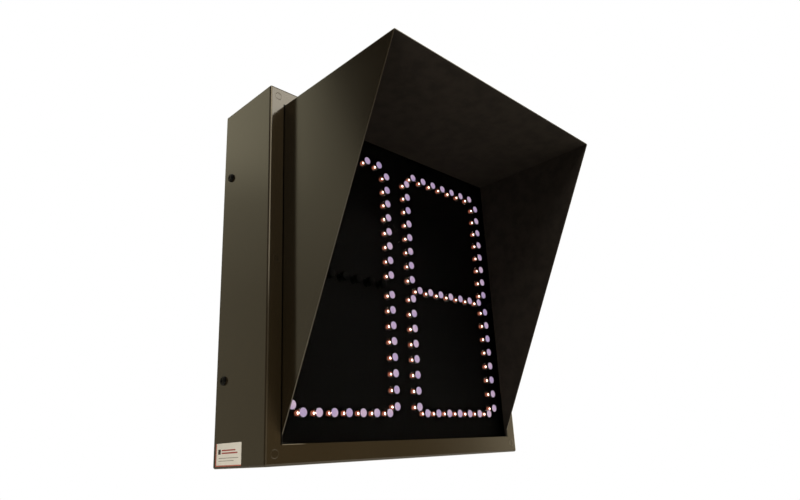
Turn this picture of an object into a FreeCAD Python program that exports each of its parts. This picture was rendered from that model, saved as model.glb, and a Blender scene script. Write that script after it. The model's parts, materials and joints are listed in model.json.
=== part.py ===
import FreeCAD, Part
import math
import os
import re
import Sketcher

# Two-digit LED numeric head in a folded-sheet housing with a sun visor.
# Millimetres, +Z up, +X to the right of somebody facing the display.
# The origin is the centre of the rear mounting plane and the display faces -Y.
# "Forward" below is a distance in front of that plane, so y = -forward.

SIZES = {
    # housing, visor and front stack
    "housing_width": 398.0,
    "housing_height": 406.4,
    "housing_depth": 94.0,
    "steel_sheet": 1.5,
    "bend_radius": 2.4,
    "bezel_side": 17.75,
    "bezel_end": 19.75,
    "hood_sheet": 1.2,
    "hood_bend": 1.8,
    "hood_depth": 178.0,
    "hood_droop": 1.4,
    "hood_heel": 7.0,
    "hood_gap": 0.25,
    "inner_margin": 1.5,
    "gasket_thick": 0.6,
    "gasket_inset": 3.0,
    "window_thick": 1.5,
    "face_gap": 10.7,
    "panel_sheet": 1.5,
    # flush studs in the bezel
    "stud_from_side": 10.7,
    "stud_from_end": 11.7,
    "stud_head_radius": 4.0,
    "stud_head_height": 0.8,
    "stud_radius": 2.0,
    "stud_hole_radius": 2.2,
    "stud_tail": 5.0,
    "stud_spacer_radius": 4.0,
    "stud_nut_flats": 7.0,
    "stud_nut_height": 3.2,
    # small fits shared by many pieces
    "thread_gap": 0.02,
    "pin_play": 0.06,
    "fit_gap": 0.1,
    "seat_gap": 0.05,
    "fuse_overlap": 0.4,
    # lamps and digits
    "digit_spacing": 183.6,
    "column_spacing": 146.4,
    "column_pitch": 18.92,
    "row_pitch": 20.12,
    "row_offset": 13.3,
    "column_count": 8,
    "row_count": 7,
    "middle_height": -1.3,
    "middle_gap": 12.45,
    "top_row_rise": 13.0,
    "bottom_row_drop": 7.3,
    "lamp_radius": 5.0,
    "lamp_flange_radius": 5.7,
    "lamp_flange_height": 1.5,
    "lamp_chamfer": 0.4,
    "lamp_gap": 0.3,
    "lamp_hole_radius": 5.2,
    # digit boards
    "board_thick": 1.6,
    "digit_board_width": 168.0,
    "digit_board_height": 336.0,
    "board_stud_reach": 78.5,
    "board_stud_end": 162.0,
    "board_stud_middle": 75.0,
    "small_radius": 1.5,
    "small_hole_radius": 1.7,
    "small_head_radius": 2.6,
    "small_tail": 4.6,
    "small_nut_flats": 5.5,
    "small_nut_height": 2.4,
    "small_washer_radius": 3.2,
    "header_spread": 60.0,
    "header_drop": 45.0,
    "header_width": 22.0,
    "header_height": 9.0,
    "header_depth": 9.0,
    "plug_depth": 6.0,
    "plug_height": 6.4,
    "ribbon_thick": 0.8,
    "ribbon_swing": 13.0,
    "ribbon_width": 20.0,
    # rear plate, its rails and their fasteners
    "pan_gap": 0.3,
    "rail_depth": 40.0,
    "rail_foot": 12.0,
    "screw_forward": 15.0,
    "screw_rise": 116.3,
    "screw_radius": 2.5,
    "screw_clearance": 0.25,
    "screw_head_radius": 4.75,
    "screw_head_height": 2.8,
    "screw_head_round": 1.8,
    "screw_length": 14.0,
    "recess_depth": 1.6,
    "recess_length": 5.2,
    "recess_width": 1.1,
    "side_nut_flats": 8.0,
    "side_nut_height": 4.0,
    "mount_spacing_across": 300.0,
    "mount_spacing_up": 300.0,
    "mount_hole_radius": 3.5,
    "cable_drop": 150.0,
    "bushing_radius": 11.0,
    "bushing_bore": 8.0,
    "bushing_flange_radius": 14.0,
    "bushing_flange": 2.0,
    "earth_across": 120.0,
    "earth_drop": 125.0,
    "earth_flange_radius": 5.5,
    "earth_flange": 1.2,
    "earth_length": 15.0,
    # power supply
    "supply_length": 159.0,
    "supply_height": 97.0,
    "supply_depth": 30.0,
    "supply_rise": 88.0,
    "supply_sheet": 1.2,
    "supply_boss": 4.0,
    "supply_boss_radius": 3.0,
    "supply_boss_across": 72.0,
    "supply_boss_up": 40.0,
    "supply_bay": 24.0,
    "board_end_gap": 2.0,
    "board_side_gap": 1.0,
    "vent_margin": 12.0,
    "vent_low": 14.5,
    "vent_rise": 11.3,
    "vent_width": 7.0,
    "vent_height": 3.0,
    "vent_rows": 7,
    "vent_columns": 9,
    "transformer_left": -8.0,
    "transformer_width": 34.0,
    "transformer_depth": 19.0,
    "transformer_height": 30.0,
    "can_radius": 7.5,
    "can_length": 18.0,
    # terminals of the power supply and their lid
    "block_inset": 3.0,
    "block_drop": 29.0,
    "block_depth": 16.0,
    "block_width": 17.0,
    "block_length": 74.0,
    "way_count": 7,
    "way_pitch": 9.5,
    "way_first": 3.0,
    "way_wall": 1.2,
    "way_depth": 6.0,
    "way_mouth": 4.0,
    "way_screw_radius": 2.9,
    "way_screw_across": 6.2,
    "slotted_height": 2.0,
    "slot_width": 0.8,
    "slot_depth": 0.8,
    "ear_width": 4.4,
    "ear_thick": 2.0,
    "lid_rise": 1.8,
    "lid_pivot_inset": 1.8,
    "lid_thick": 1.2,
    "lid_lip": 9.0,
    "lid_overhang": 0.6,
    "lid_end_gap": 0.4,
    "lid_barrel_radius": 2.0,
    "lid_pin_radius": 1.2,
    "lid_pin_inset": 0.3,
    # trimmer and voltage selector
    "trimmer_across": 8.0,
    "trimmer_drop": 38.0,
    "trimmer_width": 9.0,
    "trimmer_depth": 7.0,
    "trimmer_floor": 2.0,
    "trimmer_radius": 3.0,
    "rotor_lift": 0.3,
    "rotor_length": 6.0,
    "rotor_slot_depth": 1.0,
    "selector_left": 32.0,
    "selector_rise": 7.0,
    "selector_width": 18.0,
    "selector_depth": 10.0,
    "selector_height": 8.0,
    "selector_travel": 4.0,
    "knob_width": 6.8,
    "knob_depth": 4.4,
    "knob_height": 6.0,
    "knob_proud": 0.7,
    "knob_end_gap": 0.6,
    "knob_side_gap": 0.3,
    "groove_width": 0.9,
    "groove_depth": 0.6,
    # driver board
    "driver_width": 170.0,
    "driver_height": 80.0,
    "standoff_height": 10.0,
    "board_corner": 5.0,
    "board_screw_radius": 2.8,
    "board_screw_length": 6.5,
    "tap_depth": 6.0,
    "chip_thick": 2.0,
    "socket_width": 8.0,
    "socket_depth": 10.0,
    "socket_height": 12.0,
    "socket_across": 28.0,
    "socket_rise": 29.0,
    "button_across": 30.0,
    "button_rise": 26.0,
    "button_width": 6.0,
    "button_depth": 3.5,
    "button_floor": 1.2,
    "button_radius": 1.75,
    "button_length": 4.2,
    "button_travel": 0.8,
    "button_spare": 0.3,
    # field terminals and leads
    "field_reach": 92.0,
    "field_below": 7.0,
    "field_length": 56.0,
    "field_depth": 14.0,
    "field_height": 16.0,
    "field_count": 6,
    "field_pitch": 9.36,
    "field_first": 4.6,
    "well_radius": 3.2,
    "well_depth": 3.0,
    "mouth_width": 5.6,
    "mouth_height": 6.0,
    "mouth_depth": 4.0,
    "mouth_forward": 5.0,
    "supply_lead_radius": 1.6,
    "mains_lead_radius": 2.0,
    # identification label
    "label_length": 48.5,
    "label_height": 22.0,
    "label_thick": 0.2,
    "label_forward": 28.75,
    "label_drop": 189.8,
}

FRONT = "housing_depth"
BEZEL_BACK = "housing_depth - steel_sheet"
FLANGE_BACK = f"({BEZEL_BACK} - hood_sheet)"
GASKET_BACK = f"({FLANGE_BACK} - gasket_thick)"
WINDOW_BACK = f"({GASKET_BACK} - window_thick)"
PANEL_FRONT = f"({WINDOW_BACK} - face_gap)"
PANEL_BACK = f"({PANEL_FRONT} - panel_sheet)"
BOARD_FRONT = f"({PANEL_BACK} - lamp_flange_height)"
BOARD_BACK = f"({BOARD_FRONT} - board_thick)"
OPENING_X = "(housing_width / 2 - bezel_side)"
OPENING_Z = "(housing_height / 2 - bezel_end)"
LINER_X = "(housing_width / 2 - steel_sheet - inner_margin)"
LINER_Z = "(housing_height / 2 - steel_sheet - inner_margin)"
PAN_X = "(housing_width / 2 - steel_sheet - pan_gap)"
PAN_Z = "(housing_height / 2 - steel_sheet - pan_gap)"
STUD_X = "(housing_width / 2 - stud_from_side)"
STUD_Z = "(housing_height / 2 - stud_from_end)"
DRIVER_FRONT = "(steel_sheet + standoff_height + board_thick)"
SUPPLY_LEFT = "(-supply_length / 2)"
SUPPLY_LOW = "(supply_rise - supply_height / 2)"
ARC_SHARE = 0.45
EDGE_TOLERANCE = 1e-3

os.makedirs("parts", exist_ok=True)
doc = FreeCAD.newDocument("numeric_head")
sheet = doc.addObject("Spreadsheet::Sheet", "Sizes")
for row, (alias, value) in enumerate(SIZES.items(), start=1):
    sheet.set(f"A{row}", alias)
    sheet.set(f"B{row}", str(value))
    sheet.setAlias(f"B{row}", alias)
doc.recompute()

sub_parts = []


# ---------------------------------------------------------------- helpers

def full(text):
    """Write an expression with every alias pointing at the sheet."""
    def point(match):
        word = match.group()
        return f"Sizes.{word}" if word in SIZES else word
    return re.sub(r"[A-Za-z_]+", point, str(text))


def val(text):
    return float(sheet.evalExpression(str(text)))


def bind(thing, **properties):
    for name, text in properties.items():
        thing.setExpression(name, full(text))


def move(thing, x="0", forward="0", z="0"):
    """Place a thing by its distances from the origin."""
    thing.setExpression("Placement.Base.x", full(x))
    thing.setExpression("Placement.Base.y", full(f"-({forward})"))
    thing.setExpression("Placement.Base.z", full(z))


def keep(thing, name):
    thing.Label = name
    sub_parts.append(thing)
    return thing


def origin_item(body, role):
    return next(item for item in body.Origin.OriginFeatures if item.Role == role)


def new_sketch(body, name, plane="XZ_Plane", lift="0"):
    """Add a sketch on an origin plane, lifted along that plane's normal."""
    sketch = body.newObject("Sketcher::SketchObject", name)
    sketch.AttachmentSupport = [(origin_item(body, plane), "")]
    sketch.MapMode = "FlatFace"
    sketch.setExpression("AttachmentOffset.Base.z", full(lift))
    return sketch


def pin_point(sketch, edge, vertex, point):
    """Drive one sketch vertex by two expressions."""
    for kind, text in zip(("DistanceX", "DistanceY"), point):
        row = sketch.addConstraint(Sketcher.Constraint(kind, -1, 1, edge, vertex, val(text)))
        sketch.setExpression(f"Constraints[{row}]", full(text))


def draw_outline(sketch, points):
    """Add a closed polygon whose corners follow the sheet."""
    first = sketch.GeometryCount
    corners = [FreeCAD.Vector(val(x), val(y), 0) for x, y in points]
    count = len(corners)
    for index in range(count):
        line = Part.LineSegment(corners[index], corners[(index + 1) % count])
        sketch.addGeometry(line, False)
    for index in range(count):
        following = first + (index + 1) % count
        joint = Sketcher.Constraint("Coincident", first + index, 2, following, 1)
        sketch.addConstraint(joint)
    for index, point in enumerate(points):
        pin_point(sketch, first + index, 1, point)


def draw_rectangle(sketch, x_low, x_high, y_low, y_high):
    draw_outline(sketch, [(x_low, y_low), (x_high, y_low), (x_high, y_high), (x_low, y_high)])


def draw_circles(sketch, centres, radius):
    for centre in centres:
        middle = FreeCAD.Vector(val(centre[0]), val(centre[1]), 0)
        circle = Part.Circle(middle, FreeCAD.Vector(0, 0, 1), val(radius))
        edge = sketch.addGeometry(circle, False)
        row = sketch.addConstraint(Sketcher.Constraint("Radius", edge, val(radius)))
        sketch.setExpression(f"Constraints[{row}]", full(radius))
        pin_point(sketch, edge, 3, centre)


def pad(body, sketch, length, name="pad"):
    feature = body.newObject("PartDesign::Pad", name)
    feature.Profile = sketch
    bind(feature, Length=length)
    sketch.Visibility = False
    doc.recompute()
    return feature


def pocket(body, sketch, length, name="pocket", backwards=False, both_ways=False):
    """Cut a sketch out of the body and make sure that something was cut."""
    before = body.Shape.Volume
    feature = body.newObject("PartDesign::Pocket", name)
    feature.Profile = sketch
    feature.Reversed = backwards
    if both_ways:
        feature.SideType = "Symmetric"
    bind(feature, Length=length)
    doc.recompute()
    assert feature.Shape.Volume < before, f"{body.Label}: {name} cut nothing"
    return feature


def round_edges(body, feature, radius, chosen, name="round"):
    edges = [f"Edge{index + 1}" for index, edge in enumerate(feature.Shape.Edges) if chosen(edge)]
    fillet = body.newObject("PartDesign::Fillet", name)
    fillet.Base = (feature, edges)
    bind(fillet, Radius=radius)
    doc.recompute()
    return fillet


def new_body(name):
    return keep(doc.addObject("PartDesign::Body", name), name)


def box(name, size, corner):
    """A box from its size (x, forward, z) and its left, rearmost, low corner."""
    item = doc.addObject("Part::Box", name)
    bind(item, Length=size[0], Width=size[1], Height=size[2])
    move(item, corner[0], f"{corner[1]} + {size[1]}", corner[2])
    return item


AXES = {
    "forward": FreeCAD.Rotation(FreeCAD.Vector(1, 0, 0), 90),
    "right": FreeCAD.Rotation(FreeCAD.Vector(0, 1, 0), 90),
    "left": FreeCAD.Rotation(FreeCAD.Vector(0, 1, 0), -90),
    "up": FreeCAD.Rotation(),
}
STEPS = {
    "forward": (0, 1, 0),
    "right": (1, 0, 0),
    "left": (-1, 0, 0),
    "up": (0, 0, 1),
}


def turned(item, base, axis):
    """Stand an upright primitive along an axis, with its foot at base."""
    item.Placement = FreeCAD.Placement(FreeCAD.Vector(), AXES[axis])
    move(item, *base)
    return item


def rod(name, radius, length, base, axis="forward"):
    item = doc.addObject("Part::Cylinder", name)
    bind(item, Radius=radius, Height=length)
    return turned(item, base, axis)


def hexagon(name, across_flats, length, base, axis="forward"):
    """A hexagonal prism whose corner radius follows from its width across flats."""
    item = doc.addObject("Part::Prism", name)
    item.Polygon = 6
    bind(item, Circumradius=f"({across_flats}) / 2 / cos(30)", Height=length)
    return turned(item, base, axis)


def fused(name, *pieces):
    item = doc.addObject("Part::MultiFuse", name)
    item.Shapes = list(pieces)
    return item


def without(name, base, *tools):
    item = doc.addObject("Part::Cut", name)
    item.Base = base
    item.Tool = tools[0] if len(tools) == 1 else fused(f"{name}_tools", *tools)
    return item


def centred_box(name, size, middle_x, back, middle_z):
    corner = (f"{middle_x} - ({size[0]}) / 2", back, f"{middle_z} - ({size[2]}) / 2")
    return box(name, size, corner)


def hex_nut(name, kind, thread, base, axis="forward"):
    """A hexagon nut whose flats and height are named after its kind."""
    blank = hexagon(f"{name}_blank", f"{kind}_flats", f"{kind}_height", base, axis)
    foot = tuple(f"{place} - ({step}) * {kind}_height" for place, step in zip(base, STEPS[axis]))
    bore = rod(f"{name}_bore", f"{thread} + thread_gap", f"3 * {kind}_height", foot, axis)
    return without(name, blank, bore)


def slotted_head(name, radius, base):
    """A slotted screw head that faces forward."""
    x, forward, z = base
    head = rod(f"{name}_blank", radius, "slotted_height", base)
    slot = centred_box(f"{name}_slot", ("slot_width", "slotted_height", f"3 * {radius}"),
                       x, f"{forward} + slotted_height - slot_depth", z)
    return without(name, head, slot)


def grouped(name, pieces):
    """Identical pieces as one node of separate solids."""
    item = doc.addObject("Part::Compound", name)
    item.Links = list(pieces)
    return keep(item, name)


# ---------------------------------------------------------------- places that repeat

stud_places = [(f"{side} * {STUD_X}", f"{end} * {STUD_Z}") for side in (-1, 1) for end in (-1, 0, 1)]
digit_centres = {"tens": "(-digit_spacing / 2)", "units": "(digit_spacing / 2)"}
board_studs = [
    (f"{middle} + {across} * board_stud_reach", f"{up} * board_stud_{row}")
    for middle in digit_centres.values()
    for across, up, row in (
        (-1, -1, "end"), (1, -1, "end"), (0, -1, "middle"),
        (0, 1, "middle"), (-1, 1, "end"), (1, 1, "end"),
    )
]
COLUMN_RUN = "((column_count - 1) * column_pitch)"
UPPER_FOOT = "(middle_height + middle_gap)"
LOWER_FOOT = f"(middle_height - middle_gap - {COLUMN_RUN})"
TOP_ROW = f"({UPPER_FOOT} + {COLUMN_RUN} + top_row_rise)"
BOTTOM_ROW = f"({LOWER_FOOT} - bottom_row_drop)"


def segment_starts(middle):
    """First lamp and direction of the seven segments of one digit."""
    left = f"({middle} - column_spacing / 2)"
    right = f"({middle} + column_spacing / 2)"
    row_start = f"({left} + row_offset)"
    return {
        "segment_a": (row_start, TOP_ROW, "row"),
        "segment_b": (right, UPPER_FOOT, "column"),
        "segment_c": (right, LOWER_FOOT, "column"),
        "segment_d": (row_start, BOTTOM_ROW, "row"),
        "segment_e": (left, LOWER_FOOT, "column"),
        "segment_f": (left, UPPER_FOOT, "column"),
        "segment_g": (row_start, "middle_height", "row"),
    }


def repeat(body, feature, kind, name):
    """Repeat a feature along a row (+X) or a column (+Z) of lamps."""
    axis = "X_Axis" if kind == "row" else "Z_Axis"
    pattern = body.newObject("PartDesign::LinearPattern", name)
    pattern.Originals = [feature]
    pattern.Direction = (origin_item(body, axis), [""])
    bind(pattern, Length=f"({kind}_count - 1) * {kind}_pitch", Occurrences=f"{kind}_count")
    body.Tip = pattern
    doc.recompute()
    return pattern


# ---------------------------------------------------------------- housing and visor

def make_housing_shell():
    """Four folded walls and a narrow bezel, open at the rear."""
    body = new_body("housing_shell")
    half_x, half_z = "housing_width / 2", "housing_height / 2"
    outline = new_sketch(body, "outline")
    draw_rectangle(outline, f"-{half_x}", half_x, f"-{half_z}", half_z)
    block = pad(body, outline, "housing_depth", "block")
    block = round_edges(body, block, "bend_radius", lambda edge: edge.BoundBox.YMin < -1)
    inner_x = "(housing_width / 2 - steel_sheet)"
    inner_z = "(housing_height / 2 - steel_sheet)"
    hollow = new_sketch(body, "hollow")
    draw_rectangle(hollow, f"-{inner_x}", inner_x, f"-{inner_z}", inner_z)
    pocket(body, hollow, BEZEL_BACK, "inside", backwards=True)
    opening = new_sketch(body, "opening")
    draw_rectangle(opening, f"-{OPENING_X}", OPENING_X, f"-{OPENING_Z}", OPENING_Z)
    pocket(body, opening, "housing_depth + 1", "display_opening", backwards=True)
    seats = new_sketch(body, "seats", lift=FRONT)
    draw_circles(seats, stud_places, "stud_head_radius + seat_gap")
    pocket(body, seats, "stud_head_height", "stud_seats")
    shanks = new_sketch(body, "shanks", lift=FRONT)
    draw_circles(shanks, stud_places, "stud_hole_radius")
    pocket(body, shanks, "steel_sheet * 2", "stud_holes")
    sides = new_sketch(body, "sides", plane="YZ_Plane")
    places = [("-screw_forward", f"{up} * screw_rise") for up in (-1, 1)]
    draw_circles(sides, places, "screw_radius + screw_clearance")
    pocket(body, sides, "housing_width + 10", "screw_holes", both_ways=True)


def make_visor_hood():
    """Three-sided visor whose sides taper to the foot, on a flange behind the bezel."""
    body = new_body("visor_hood")
    outer_x = f"({OPENING_X} - hood_gap)"
    outer_z = f"({OPENING_Z} - hood_gap)"
    inner_x = f"({outer_x} - hood_sheet)"
    inner_z = f"({outer_z} - hood_sheet)"
    reach = f"housing_depth + hood_depth - {FLANGE_BACK}"
    cover = new_sketch(body, "cover", lift=FLANGE_BACK)
    draw_rectangle(cover, f"-{outer_x}", outer_x, f"-{outer_z}", outer_z)
    block = pad(body, cover, reach, "block")
    round_edges(
        body, block, "hood_bend",
        lambda edge: edge.BoundBox.YLength > 1 and edge.BoundBox.ZMin > 1, "top_bends")
    inside = new_sketch(body, "inside", lift="housing_depth + hood_depth")
    draw_rectangle(inside, f"-{inner_x}", inner_x, f"-{outer_z} - 1", inner_z)
    pocket(body, inside, f"{reach} + 1", "hollow")
    tip = "-(housing_depth + hood_depth)"
    slant = new_sketch(body, "slant", plane="YZ_Plane")
    draw_outline(slant, [
        (f"{tip} - 1", f"{outer_z} + 1"),
        (f"{tip} - 1", f"-{outer_z} - 1"),
        ("-housing_depth", f"-{outer_z} - 1"),
        ("-housing_depth", f"-{outer_z} + hood_heel"),
        (tip, f"{outer_z} - hood_droop"),
        (tip, f"{outer_z} + 1"),
    ])
    pocket(body, slant, "housing_width + 10", "slanted_edges", both_ways=True)
    flange = new_sketch(body, "flange", lift=FLANGE_BACK)
    draw_rectangle(flange, f"-{LINER_X}", LINER_X, f"-{LINER_Z}", LINER_Z)
    draw_rectangle(flange, f"-{inner_x}", inner_x, f"-{OPENING_Z}", inner_z)
    pad(body, flange, "hood_sheet", "flange_ring")
    holes = new_sketch(body, "holes", lift=BEZEL_BACK)
    draw_circles(holes, stud_places, "stud_hole_radius")
    pocket(body, holes, "hood_sheet + 1", "stud_holes")


def make_frame_plate(name, back, thick, inner=None, holes=()):
    """A flat plate or ring as large as the inside of the housing."""
    body = new_body(name)
    outline = new_sketch(body, "outline", lift=back)
    draw_rectangle(outline, f"-{LINER_X}", LINER_X, f"-{LINER_Z}", LINER_Z)
    if inner:
        draw_rectangle(outline, f"-{inner[0]}", inner[0], f"-{inner[1]}", inner[1])
    pad(body, outline, thick, "plate")
    shanks = new_sketch(body, "shanks", lift=f"{back} + {thick}")
    draw_circles(shanks, stud_places, "stud_hole_radius")
    pocket(body, shanks, f"{thick} + 1", "stud_holes")
    return body


def make_window():
    ring = (f"({OPENING_X} + gasket_inset)", f"({OPENING_Z} + gasket_inset)")
    make_frame_plate("window_gasket", GASKET_BACK, "gasket_thick", inner=ring)
    make_frame_plate("front_window", WINDOW_BACK, "window_thick")


def make_face_panel():
    """Black panel with one clear hole for each lamp and blind seats for its studs."""
    body = make_frame_plate("face_panel", PANEL_BACK, "panel_sheet")
    for digit, middle in digit_centres.items():
        for segment, (x, z, kind) in segment_starts(middle).items():
            name = f"{digit}_{segment}"
            hole = new_sketch(body, f"{name}_hole", lift=PANEL_FRONT)
            draw_circles(hole, [(x, z)], "lamp_hole_radius")
            first = pocket(body, hole, "panel_sheet + 1", f"{name}_first")
            repeat(body, first, kind, f"{name}_holes")
    seats = new_sketch(body, "seats", lift=PANEL_BACK)
    draw_circles(seats, board_studs, "small_head_radius + seat_gap")
    pocket(body, seats, "stud_head_height", "blind_seats", backwards=True)


def make_bezel_fasteners():
    """Flush-head studs clamp the bezel, visor flange, gasket, window and face panel."""
    studs, spacers, nuts = [], [], []
    for index, (x, z) in enumerate(stud_places):
        head_back = f"{FRONT} - stud_head_height"
        tail = f"({PANEL_BACK} - stud_tail)"
        head = rod(f"stud_head_{index}", "stud_head_radius", "stud_head_height", (x, head_back, z))
        shank = rod(f"stud_shank_{index}", "stud_radius", f"{head_back} - {tail}", (x, tail, z))
        studs.append(fused(f"stud_{index}", head, shank))
        tube = rod(f"tube_{index}", "stud_spacer_radius", "face_gap", (x, PANEL_FRONT, z))
        bore = rod(f"tube_bore_{index}", "stud_hole_radius", "face_gap + 2", (x, f"{PANEL_FRONT} - 1", z))
        spacers.append(without(f"spacer_{index}", tube, bore))
        foot = (x, f"{PANEL_BACK} - stud_nut_height", z)
        nuts.append(hex_nut(f"nut_{index}", "stud_nut", "stud_radius", foot))
    grouped("bezel_studs", studs)
    grouped("stud_spacers", spacers)
    grouped("bezel_nuts", nuts)


# ---------------------------------------------------------------- digits

def make_segment(name, x, z, kind):
    """One segment: clear flat-topped lamps in a line, each with a flange at its foot."""
    body = new_body(name)
    profile = new_sketch(body, "profile", plane="XY_Plane", lift=z)
    foot = f"-({BOARD_FRONT})"
    step = f"-({PANEL_BACK})"
    tip = f"-({WINDOW_BACK} - lamp_gap)"
    draw_outline(profile, [
        (x, foot),
        (f"{x} + lamp_flange_radius", foot),
        (f"{x} + lamp_flange_radius", step),
        (f"{x} + lamp_radius", step),
        (f"{x} + lamp_radius", f"{tip} + lamp_chamfer"),
        (f"{x} + lamp_radius - lamp_chamfer", tip),
        (x, tip),
    ])
    doc.recompute()
    lamp = body.newObject("PartDesign::Revolution", "lamp")
    lamp.Profile = profile
    lamp.ReferenceAxis = (profile, ["Edge7"])
    lamp.Angle = 360
    doc.recompute()
    repeat(body, lamp, kind, "lamps")


def make_digit(digit, middle):
    """A circuit board and the seven lamp segments of one figure."""
    body = new_body(f"{digit}_board")
    outline = new_sketch(body, "outline", lift=BOARD_BACK)
    half_x, half_z = "digit_board_width / 2", "digit_board_height / 2"
    draw_rectangle(outline, f"{middle} - {half_x}", f"{middle} + {half_x}", f"-{half_z}", half_z)
    pad(body, outline, "board_thick", "plate")
    holes = new_sketch(body, "holes", lift=BOARD_FRONT)
    own = [place for place in board_studs if middle in place[0]]
    draw_circles(holes, own, "small_hole_radius")
    pocket(body, holes, "board_thick + 1", "stud_holes")
    for segment, (x, z, kind) in segment_starts(middle).items():
        make_segment(f"{digit}_{segment}", x, z, kind)


def make_board_fasteners():
    """Concealed studs in the face panel carry the digit boards on thin spacers."""
    studs, spacers, nuts = [], [], []
    for index, (x, z) in enumerate(board_studs):
        tail = f"({BOARD_BACK} - small_tail)"
        head = rod(f"small_head_{index}", "small_head_radius", "stud_head_height", (x, PANEL_BACK, z))
        shank = rod(f"small_shank_{index}", "small_radius",
                    f"{PANEL_BACK} - {tail} + fuse_overlap", (x, tail, z))
        studs.append(fused(f"small_stud_{index}", head, shank))
        washer = rod(f"washer_{index}", "small_washer_radius", "lamp_flange_height", (x, BOARD_FRONT, z))
        bore = rod(f"washer_bore_{index}", "small_hole_radius", "lamp_flange_height + 2",
                   (x, f"{BOARD_FRONT} - 1", z))
        spacers.append(without(f"small_spacer_{index}", washer, bore))
        foot = (x, f"{BOARD_BACK} - small_nut_height", z)
        nuts.append(hex_nut(f"small_nut_{index}", "small_nut", "small_radius", foot))
    grouped("face_studs", studs)
    grouped("board_spacers", spacers)
    grouped("board_nuts", nuts)


# ---------------------------------------------------------------- ribbons and their connectors

PLUG_BACK = f"({BOARD_BACK} - header_depth - plug_depth)"
PLUG_FRONT = f"({DRIVER_FRONT} + header_depth + plug_depth)"


def make_connectors():
    """Shrouded headers on the boards and the ribbon plugs that sit on them."""
    size = ("header_width", "header_depth", "header_height")
    plug_size = ("header_width", "plug_depth", "plug_height")
    rows = {"digit_headers": [], "digit_plugs": [], "driver_headers": [], "driver_plugs": []}
    for digit, side in (("tens", -1), ("units", 1)):
        x = f"({side} * header_spread)"
        z = "(-header_drop)"
        places = {
            "digit_headers": (size, f"{BOARD_BACK} - header_depth"),
            "digit_plugs": (plug_size, PLUG_BACK),
            "driver_headers": (size, DRIVER_FRONT),
            "driver_plugs": (plug_size, f"{DRIVER_FRONT} + header_depth"),
        }
        for name, (extent, back) in places.items():
            rows[name].append(centred_box(f"{digit}_{name}", extent, x, back, z))
    for name, pieces in rows.items():
        grouped(name, pieces)


def make_ribbon(digit, side):
    """Flat cable folded like a concertina between two plugs, so that it can open."""
    body = doc.addObject("PartDesign::Body", f"{digit}_ribbon")
    profile = new_sketch(body, "profile", plane="YZ_Plane", lift=f"{side} * header_spread - ribbon_width / 2")
    folds = 4
    start, end = f"-{PLUG_FRONT}", f"-{PLUG_BACK}"
    step = f"(({end} - {start}) / {2 * folds})"
    centre = [(start, "-header_drop")]
    for index in range(1, 2 * folds):
        swing = "0" if index % 2 == 0 else ("ribbon_swing" if index % 4 == 1 else "-ribbon_swing")
        centre.append((f"{start} + {index} * {step}", f"-header_drop + {swing}"))
    centre.append((end, "-header_drop"))
    lower = [(f"{y} + ribbon_thick / 2", z) for y, z in centre[1:-1]]
    upper = [(f"{y} - ribbon_thick / 2", z) for y, z in centre[1:-1]]
    half = "ribbon_thick / 2"
    points = [(start, f"-header_drop - {half}")] + lower + [(end, f"-header_drop - {half}")]
    points += [(end, f"-header_drop + {half}")] + upper[::-1] + [(start, f"-header_drop + {half}")]
    draw_outline(profile, points)
    pad(body, profile, "ribbon_width", "cable")
    return body


# ---------------------------------------------------------------- rear plate, rails and fasteners

def make_rear_plate():
    """Flat back plate inside the housing, with the wall bolt holes and the cable hole."""
    body = new_body("rear_plate")
    outline = new_sketch(body, "outline")
    draw_rectangle(outline, f"-{PAN_X}", PAN_X, f"-{PAN_Z}", PAN_Z)
    pad(body, outline, "steel_sheet", "plate")
    corners = [
        (f"{across} * mount_spacing_across / 2", f"{up} * mount_spacing_up / 2")
        for across in (-1, 1) for up in (-1, 1)
    ]
    mounts = new_sketch(body, "mounts", lift="steel_sheet")
    draw_circles(mounts, corners, "mount_hole_radius")
    pocket(body, mounts, "steel_sheet + 1", "mount_holes")
    entry = new_sketch(body, "entry", lift="steel_sheet")
    draw_circles(entry, [("0", "-cable_drop")], "bushing_radius")
    pocket(body, entry, "steel_sheet + 1", "cable_hole")


def angle_section(side, outer):
    """Section of an angle rail as (across, forward) points: a wall and a foot on the plate."""
    edge = f"{side} * {outer}"
    wall = f"{side} * ({outer} - steel_sheet)"
    toe = f"{side} * ({outer} - rail_foot)"
    return [
        (edge, "steel_sheet"),
        (edge, "rail_depth"),
        (wall, "rail_depth"),
        (wall, "2 * steel_sheet"),
        (toe, "2 * steel_sheet"),
        (toe, "steel_sheet"),
    ]


def cut_screw_slots(rail):
    """Slots that are open at the front, so that the housing slides off its loosened screws."""
    half = "(screw_radius + screw_clearance)"
    slots = new_sketch(rail, "slots", plane="YZ_Plane")
    for up in (-1, 1):
        middle = f"{up} * screw_rise"
        draw_rectangle(slots, "-rail_depth - 1", "-screw_forward", f"{middle} - {half}", f"{middle} + {half}")
    pocket(rail, slots, "housing_width", "screw_slots", both_ways=True)
    ends = new_sketch(rail, "ends", plane="YZ_Plane")
    draw_circles(ends, [("-screw_forward", f"{up} * screw_rise") for up in (-1, 1)], half)
    pocket(rail, ends, "housing_width", "slot_ends", both_ways=True)


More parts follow.
